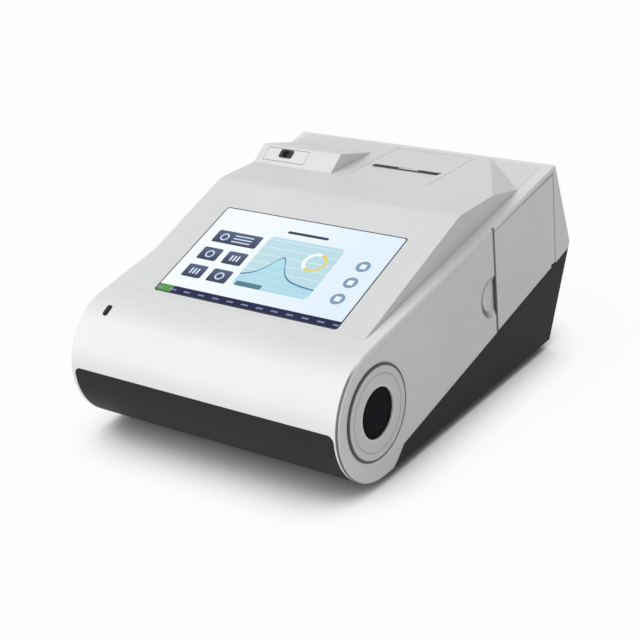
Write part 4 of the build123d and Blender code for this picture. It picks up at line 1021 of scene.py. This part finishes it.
@dataclass
class Housing(SubAssembly):
    """White shell, grey platform and dark base with their small parts."""

    plain: ClassVar = {
        Stock.GREY: ("display_platform",),
        Stock.CHARCOAL: ("base_tray", "battery_cover"),
        Stock.RUBBER: ("rubber_feet",),
        Stock.WRAP: ("battery_pack",),
    }
    post_x: float = 100.0 * MM
    post_places_y: Pair = (-50.0 * MM, 70.0 * MM)
    head_radius: float = 3.0 * MM
    head_height: float = 1.2 * MM
    head_round: float = 0.35 * MM
    head_sides: int = 28
    socket_radius: float = 1.4 * MM
    socket_depth: float = 0.1 * MM
    socket_sides: int = 6
    # Painted shadow of the gap round the roll's right end and of the door's gap on the shell.
    end_seam_x: float = 116.3 * MM
    end_seam_width: float = 1.8 * MM
    end_seam_rear_y: float = -142.0 * MM
    end_seam_fade: float = 16.0 * MM
    door_seam_width: float = 2.8 * MM
    door_seam_depth: float = 1.0 * MM
    door_seam_fade: float = 0.2 * MM
    scoop_z: float = 76.0 * MM
    scoop_ahead: float = 4.5 * MM
    scoop_shade_radius: float = 13.4 * MM
    scoop_shade_width: float = 3.4 * MM
    side_wall_above_x: float = 100.0 * MM
    board_top: float = 1.7 * MM
    grip_bars: int = 6
    grip_margin: float = 9.0 * MM
    grip_pitch: float = 3.2 * MM
    grip_size: Triple = (24.0 * MM, 1.4 * MM, 0.6 * MM)
    grip_sink: float = 0.1 * MM
    grip_round: float = 0.25 * MM

    def painted_shades(self) -> tuple[Union[SeamShade, Hollow], ...]:
        """Collect the painted shade on the shell.

        Returns:
            Painted shadow of the gap round the roll's right end and of the door's gap, and painted
            shade in the scoop.
        """
        door_low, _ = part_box("calibrant_door")
        _, shell_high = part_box("upper_housing")
        end_high = (BEYOND, self.end_seam_rear_y, BEYOND)
        wall_low = (shell_high.x - self.door_seam_depth, -BEYOND, -BEYOND)
        scoop = (door_low.y - self.scoop_ahead, self.scoop_z)
        end_width, end_fade = self.end_seam_width, self.end_seam_fade
        return (
            SeamShade(Axis3.X, self.end_seam_x, end_width, high=end_high, fade=end_fade),
            SeamShade(
                Axis3.Y, door_low.y, self.door_seam_width, low=wall_low, fade=self.door_seam_fade
            ),
            Hollow(scoop, self.scoop_shade_radius, self.scoop_shade_width, self.side_wall_above_x),
        )

    def dress(self) -> None:
        """Give the housing's nodes their finishes."""
        super().dress()
        # The white shell carries painted shade of its gaps and of the scoop.
        shell = Moulded(
            "white_shell", WHITE_PLASTIC, 0.36, coat=0.12, painted_shades=self.painted_shades(), seam_shade=0.14
        )
        dress("upper_housing", shell)
        low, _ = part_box("main_board")
        dress("main_board", CircuitBoard("board_green", low.z + self.board_top))

    def build(self) -> None:
        """Add what the underside carries."""
        self.screws()
        self.cover_grip()

    def screws(self) -> None:
        """Set the closing screws under the four posts, with their hexagon sockets."""
        low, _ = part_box("base_tray")
        heads, sockets = bmesh.new(), bmesh.new()
        head_radii, socket_radii = (self.head_radius,) * 2, (self.socket_radius,) * 2
        head_z, socket_z = low.z - self.head_height / 2, low.z - self.head_height
        for x in (-self.post_x, self.post_x):
            for y in self.post_places_y:
                head, below = Vector((x, y, head_z)), Vector((x, y, socket_z))
                head_size = (head_radii, self.head_height, Axis3.Z, self.head_sides)
                disc(heads, head, *head_size, self.head_round)
                disc(sockets, below, socket_radii, self.socket_depth, Axis3.Z, self.socket_sides)
        publish("base_screws", heads, Stock.STEEL.value, "chassis")
        publish("screw_sockets", sockets, Stock.BLACK.value, "chassis")

    def cover_grip(self) -> None:
        """Raise a row of grip bars near the free edge of the battery cover."""
        low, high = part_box("battery_cover")
        form = bmesh.new()
        half = Vector(self.grip_size) / 2
        for index in range(self.grip_bars):
            y = low.y + self.grip_margin + index * self.grip_pitch
            centre = Vector(((low.x + high.x) / 2, y, low.z - half.z + self.grip_sink))
            block(form, centre - half, centre + half, self.grip_round)
        publish("cover_grip_bars", form, Stock.CHARCOAL.value, "chassis")


@dataclass
class Screen(SubAssembly):
    """Cover glass with the lit picture, and the display behind it."""

    plain: ClassVar = {Stock.BLACK: ("display_panel",)}
    tilt: float = math.radians(18.688)

    def dress(self) -> None:
        """Draw the picture on the glass and blacken the display's back."""
        super().dress()
        picture = ScreenPicture("display", tuple(middle_of("touch_glass")), self.tilt)
        dress("touch_glass", picture)


@dataclass
class RollEnds(SubAssembly):
    """The round caps in the ends of the roll, the scanner, the speaker and the power key."""

    plain: ClassVar = {Stock.BLACK: ("scanner_module", "speaker")}

    def dress(self) -> None:
        """Give the caps and what is behind them their finishes."""
        super().dress()
        low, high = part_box("scanner_window")
        centre = tuple(middle_of("scanner_window").yz)
        radius = (high.y - low.y) / 2
        cap_low, cap_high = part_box("scanner_bezel")
        rim = (cap_high.y - cap_low.y) / 2
        dress("scanner_bezel", TurnedCap("cap_grey", centre, rim, radius))
        dress("left_end_cap", TurnedCap("cap_grey_plain", centre, rim))
        dress("scanner_window", DarkWindow("dark_window", centre, radius))
        key = Moulded("key_black", (0.006, 0.006, 0.0065), 0.4, specular=0.2, tone=0.1)
        dress("power_key", key)
        _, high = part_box("key_board")
        dress("key_board", CircuitBoard("key_board_green", high.z))


@dataclass
class CartridgeUnit(SubAssembly):
    """Hood, guide and test cartridge."""

    plain: ClassVar = {
        Stock.GREY: ("cartridge_hood",),
        Stock.BLACK: ("cartridge_guide",),
        Stock.ALUMINIUM: ("contact_block",),
        Stock.RUBBER: ("sample_port",),
        Stock.CERAMIC: ("sensor_chip",),
    }

    def dress(self) -> None:
        """Give the hood and the cartridge their finishes."""
        super().dress()
        low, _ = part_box("cartridge_body")
        dress("cartridge_body", TestCartridge("cartridge_white", low.y))


@dataclass
class Printer(SubAssembly):
    """Printer lid, paper and the drive behind it."""

    plain: ClassVar = {
        Stock.CARD: ("paper_core",),
        Stock.BLACK: ("paper_bucket",),
        Stock.GREY: ("printer_bezel",),
        Stock.STEEL: ("tear_bar", "lid_pin", "printer_frame", "platen_shaft"),
        Stock.ACETAL: ("platen_gear", "idler_gear", "motor_pinion"),
        Stock.ALUMINIUM: ("print_head",),
        Stock.RUBBER: ("platen_roller",),
        Stock.PLATED: ("printer_motor",),
    }
    strip_margin: float = 10.0 * MM
    strip_depth: float = 1.7 * MM
    strip_rear_gap: float = 0.5 * MM
    strip_height: float = 0.7 * MM
    strip_proud: float = 0.6
    strip_round: float = 0.15 * MM
    tooth_pitch: float = 1.5 * MM
    tooth_fill: float = 0.45
    tooth_tip: float = 0.12 * MM
    tooth_length: float = 0.7 * MM
    tooth_drop: float = 0.2 * MM
    tooth_sides: int = 4
    cheek_length: float = 5.5 * MM
    cheek_depth: float = 2.6 * MM
    cheek_gap: float = 0.4 * MM
    cheek_sink: float = 0.1 * MM
    cheek_round: float = 0.2 * MM
    # Painted shade of the paper slot on the lid's front edge.
    lip_width: float = 2.4 * MM
    lip_fade: float = 0.3 * MM
    lip_overlap: float = 0.5 * MM

    def dress(self) -> None:
        """Give the printer's nodes their finishes, with painted shade of the paper slot on the lid's
        front edge.
        """
        super().dress()
        axis = tuple(middle_of("paper_roll").yz)
        dress("paper_roll", WoundPaper("thermal_paper", axis))
        low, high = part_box("printer_lid")
        inner = self.cheek_length - self.lip_overlap
        ends = (low.x + inner, -BEYOND, -BEYOND), (high.x - inner, BEYOND, BEYOND)
        # Painted shade of the paper slot: a near-black band on the lid's front edge, short of its
        # ends.
        lip = SeamShade(Axis3.Y, low.y, self.lip_width, *ends, fade=self.lip_fade)
        lid = Moulded("lid_grey", GREY_PLASTIC, 0.4, painted_shades=(lip,), seam_shade=0.04)
        dress("printer_lid", lid)

    def build(self) -> None:
        """Finish the paper slot's edge and its ends."""
        self.tear_strip()
        self.slot_cheeks()

    def tear_strip(self) -> None:
        """Lay a black toothed tear strip along the bezel's edge of the paper slot; its black also
        stands in for the shade in the slot, as painted shade.
        """
        low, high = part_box("printer_bezel")
        form = bmesh.new()
        left, right = low.x + self.strip_margin, high.x - self.strip_margin
        top = high.z + self.strip_height * self.strip_proud
        front = Vector((left, high.y - self.strip_depth, top - self.strip_height))
        rear = Vector((right, high.y - self.strip_rear_gap, top))
        block(form, front, rear, self.strip_round)
        count = int((right - left) / self.tooth_pitch)
        radii = (self.tooth_pitch * self.tooth_fill, self.tooth_tip)
        tooth_y = high.y - self.tooth_length / 2
        for index in range(count):
            x = left + (index + 0.5) * (right - left) / count
            place = Vector((x, tooth_y, top - self.tooth_drop))
            disc(form, place, radii, self.tooth_length, Axis3.Y, self.tooth_sides)
        publish("tear_strip", form, Stock.BLACK.value, "chassis")

    def slot_cheeks(self) -> None:
        """Close both ends of the gap before the lid: the slot is as long as the paper is wide."""
        lid_low, lid_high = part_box("printer_lid")
        _, bezel_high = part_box("printer_bezel")
        form = bmesh.new()
        front, rear = bezel_high.y - self.cheek_sink, lid_low.y - self.cheek_gap
        bottom, top = lid_high.z - self.cheek_depth, lid_high.z
        for left in (lid_low.x, lid_high.x - self.cheek_length):
            right = left + self.cheek_length
            low, high = Vector((left, front, bottom)), Vector((right, rear, top))
            block(form, low, high, self.cheek_round)
        publish("slot_cheeks", form, Stock.GREY.value, "chassis")


@dataclass
class SideBay(SubAssembly):
    """Side door, bay and calibrant pack."""

    plain: ClassVar = {
        Stock.STEEL: ("door_strike", "door_pin", "calibrant_probe"),
        Stock.BLACK: ("calibrant_bay",),
        Stock.MAGNET: ("door_magnet",),
        Stock.RUBBER: ("pack_septum",),
    }
    # Width of the painted shade of the door's gap.
    seam_width: float = 2.8 * MM
    fluid_share: float = 0.62
    rib_size: float = 1.2 * MM
    rib_places_y: Triple = (62.0 * MM, 89.0 * MM, 116.0 * MM)
    rib_places_z: Triple = (76.0 * MM, 90.0 * MM, 104.0 * MM)
    rib_round: float = 0.2 * MM
    panel_inner_x: float = 115.85 * MM
    label_size: Triple = (0.2 * MM, 40.0 * MM, 17.0 * MM)
    label_above: float = 6.0 * MM
    label_sink: float = 0.05 * MM
    stripe_place: float = 0.2
    stripe_share: float = 0.22

    def dress(self) -> None:
        """Give the door, the bay and the pack their finishes, with painted shade of the door's gap
        on its front edge.
        """
        super().dress()
        low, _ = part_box("calibrant_door")
        # Painted shade of the door's gap along its front edge.
        edge = (SeamShade(Axis3.Y, low.y, self.seam_width),)
        door = Moulded("white_door", WHITE_PLASTIC, 0.36, coat=0.12, painted_shades=edge, seam_shade=0.14)
        dress("calibrant_door", door)
        low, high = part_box("calibrant_pack")
        level = low.z + (high.z - low.z) * self.fluid_share
        dress("calibrant_pack", TranslucentPack("pack_plastic", level))

    def build(self) -> None:
        """Add what shows when the door is open."""
        self.door_ribs()
        self.pack_label()

    def door_ribs(self) -> None:
        """Brace the door's inner face with a frame of ribs inside the bay's mouth."""
        form = bmesh.new()
        left, right = self.panel_inner_x - self.rib_size, self.panel_inner_x
        near, far = self.rib_places_y[0], self.rib_places_y[-1]
        bottom, top = self.rib_places_z[0], self.rib_places_z[-1]
        half = self.rib_size / 2
        spans = [((near, z - half), (far, z + half)) for z in self.rib_places_z]
        spans += [((y - half, bottom), (y + half, top)) for y in self.rib_places_y]
        for low, high in spans:
            block(form, Vector((left, *low)), Vector((right, *high)), self.rib_round)
        white = Moulded("rib_white", WHITE_PLASTIC, 0.4)
        publish("door_ribs", form, white, "door")

    def pack_label(self) -> None:
        """Stick a bare striped label on the pack's outer face."""
        low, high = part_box("calibrant_pack")
        form = bmesh.new()
        size = Vector(self.label_size)
        middle_y = (low.y + high.y) / 2
        outer_x, bottom = high.x - self.label_sink, low.z + self.label_above
        base = Vector((outer_x, middle_y - size.y / 2, bottom))
        block(form, base, base + size, self.label_sink)
        stripe_z, stripe_width = bottom + size.z * self.stripe_place, size.z * self.stripe_share
        label = StripedLabel("pack_label", stripe_z, stripe_width)
        publish("pack_label", form, label, "pack")


@dataclass
class RearWell(SubAssembly):
    """Sockets in the rear well, with their contacts, lamps and centre pin."""

    plain: ClassVar = {
        Stock.BLACK: ("rear_panel", "dc_inlet"),
        Stock.PLATED: ("lan_port", "usb_ports"),
    }
    contact_count: int = 8
    contact_pitch: float = 1.02 * MM
    contact_width: float = 0.45 * MM
    contact_depths: Pair = (9.0 * MM, 1.5 * MM)
    contact_heights: Pair = (2.6 * MM, 2.9 * MM)
    lamp_size: Triple = (2.6 * MM, 0.5 * MM, 1.4 * MM)
    lamp_spread: float = 5.4 * MM
    lamp_below: float = 1.7 * MM
    lamp_round: float = 0.15 * MM
    pin_radius: float = 1.0 * MM
    pin_length: float = 9.0 * MM
    pin_depth: float = 6.5 * MM
    pin_round: float = 0.3 * MM
    pin_sides: int = 20

    def build(self) -> None:
        """Add what the sockets hold."""
        self.network_contacts()
        self.network_lamps()
        self.inlet_pin()

    def network_contacts(self) -> None:
        """Lay the network socket's gold contacts under its roof."""
        _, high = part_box("lan_port")
        middle = middle_of("lan_port")
        form = bmesh.new()
        (deep, shallow), (under, top) = self.contact_depths, self.contact_heights
        for index in range(self.contact_count):
            x = middle.x + (index - (self.contact_count - 1) / 2) * self.contact_pitch
            left, right = x - self.contact_width / 2, x + self.contact_width / 2
            inner = Vector((left, high.y - deep, middle.z + under))
            outer = Vector((right, high.y - shallow, middle.z + top))
            block(form, inner, outer)
        publish("lan_contacts", form, Stock.GOLD.value, "chassis")

    def network_lamps(self) -> None:
        """Set the two small lamps above the network socket's mouth."""
        _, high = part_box("lan_port")
        middle = middle_of("lan_port")
        form = bmesh.new()
        half = Vector(self.lamp_size) / 2
        for side in (-1, 1):
            x = middle.x + side * self.lamp_spread
            centre = Vector((x, high.y, high.z - self.lamp_below))
            block(form, centre - half, centre + half, self.lamp_round)
        lens = LampLens("lamp_lens", middle.x)
        publish("lan_lamps", form, lens, "chassis")

    def inlet_pin(self) -> None:
        """Stand the centre pin in the power inlet."""
        _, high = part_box("dc_inlet")
        middle = middle_of("dc_inlet")
        form = bmesh.new()
        place = Vector((middle.x, high.y - self.pin_depth, middle.z))
        radii = (self.pin_radius,) * 2
        disc(form, place, radii, self.pin_length, Axis3.Y, self.pin_sides, self.pin_round)
        publish("inlet_pin", form, Stock.PLATED.value, "chassis")


@dataclass
class Studio:
    """Pale floor, even world and one broad soft key light."""

    floor_size: float = 6.0
    floor_grey: float = 0.7
    floor_glow: float = 0.94
    # Painted contact shadow: floor grey near the object and in the open, and the reach and span of
    # the ambient occlusion that places it.
    shaded_grey: float = 0.55
    open_grey: float = 0.97
    contact_reach: float = 0.06
    contact_span: Pair = (0.25, 0.88)
    world_light: float = 0.46
    key_strength: float = 1.9
    key_spread: float = math.radians(70.0)
    key_from: Triple = (-0.5, -0.66, 0.56)

    def seen(self, graph: Graph) -> Wire:
        """Find the rays that look at the background directly, in gloss or through glass.

        Args:
            graph: The material or world that uses it.

        Returns:
            1 for such rays and 0 for the others.
        """
        path = graph.node("ShaderNodeLightPath")
        kinds = ("Is Camera Ray", "Is Glossy Ray", "Is Transmission Ray")
        direct, gloss, through = (Wire(graph, path.outputs[kind]) for kind in kinds)
        return direct.at_least(gloss).at_least(through)

    def floor(self) -> None:
        """Lay a pale floor that looks white in the open and keeps the object's shadow, with a
        painted contact shadow: its colour darkens and its glow fades near the object, as ambient
        occlusion finds it.
        """
        form = bmesh.new()
        bmesh.ops.create_grid(form, x_segments=1, y_segments=1, size=self.floor_size / 2)
        mesh = bpy.data.meshes.new("floor")
        form.to_mesh(mesh)
        form.free()
        floor = link("floor", mesh)
        graph = Graph("floor_white")
        seen = self.seen(graph)
        values = {"Distance": self.contact_reach}
        # Painted contact shadow from ambient occlusion: darker colour and less glow near the object.
        near = graph.node("ShaderNodeAmbientOcclusion", {"samples": 16}, values)
        openness = Wire(graph, near.outputs["AO"]).ramp(*self.contact_span)
        shaded = graph.blend((self.shaded_grey,) * 3, (self.open_grey,) * 3, openness)
        tone = graph.blend((self.floor_grey,) * 3, shaded, seen)
        base = graph.node("ShaderNodeBsdfDiffuse", None, {"Color": tone})
        glow = graph.node("ShaderNodeEmission", None, {"Color": (1, 1, 1, 1), "Strength": 1.0})
        share = seen * openness * self.floor_glow
        values = {0: share, 1: base.outputs[0], 2: glow.outputs[0]}
        mesh.materials.append(graph.finish(graph.node("ShaderNodeMixShader", None, values)))

    def world(self) -> None:
        """Even light from all round, white where it is looked at."""
        graph = Graph("studio", world=True)
        dim, white = (
            graph.node("ShaderNodeBackground", None, {"Color": (1, 1, 1, 1), "Strength": strength})
            for strength in (self.world_light, 1.0)
        )
        values = {0: self.seen(graph), 1: dim.outputs[0], 2: white.outputs[0]}
        shader = graph.node("ShaderNodeMixShader", None, values)
        bpy.context.scene.world = graph.finish(shader)

    def key(self) -> None:
        """Hang the key light above, to the left and in front."""
        data = bpy.data.lights.new("key", "SUN")
        data.energy = self.key_strength
        data.angle = self.key_spread
        lamp = link("key", data)
        place = Vector(self.key_from)
        lamp.location = place
        lamp.rotation_euler = (-place).to_track_quat("-Z", "Y").to_euler()

    def build(self) -> None:
        """Set up the floor, the world and the key light."""
        bpy.context.scene.view_settings.view_transform = "Standard"
        self.floor()
        self.world()
        self.key()
        log.info("studio ready")


@dataclass
class ViewCamera:
    """Camera at the photograph's angle, distance and framing."""

    azimuth: float = 38.1615
    elevation: float = 24.4291
    roll: float = -5.6174
    distance: float = 1130.9892 * MM
    shift_right: float = 6.4497 * MM
    shift_up: float = 22.8629 * MM
    focus_height: float = 76.0 * MM
    focal_pixels: float = 1522.1665
    frame_pixels: float = 640.0
    sensor: float = 36.0

    def build(self) -> None:
        """Create the camera and make it the scene's."""
        data = bpy.data.cameras.new("view")
        data.sensor_width = self.sensor
        data.lens = self.focal_pixels / self.frame_pixels * self.sensor
        camera = link("view", data)
        pose = Matrix.Translation((0.0, 0.0, self.focus_height))
        for angle, axis in ((self.azimuth, "Z"), (90.0 - self.elevation, "X"), (self.roll, "Z")):
            pose = pose @ Matrix.Rotation(math.radians(angle), 4, axis)
        back_off = Matrix.Translation((-self.shift_right, -self.shift_up, self.distance))
        camera.matrix_world = pose @ back_off
        bpy.context.scene.camera = camera
        log.info("camera ready")


def main() -> None:
    """Build the studio, the camera and every sub-assembly in order."""
    logging.basicConfig(level=logging.INFO, format="%(name)s: %(message)s")
    Studio().build()
    ViewCamera().build()
    for unit in (Housing, Screen, RollEnds, CartridgeUnit, Printer, SideBay, RearWell):
        part = unit()
        part.dress()
        part.build()


if __name__ == "__main__":
    main()
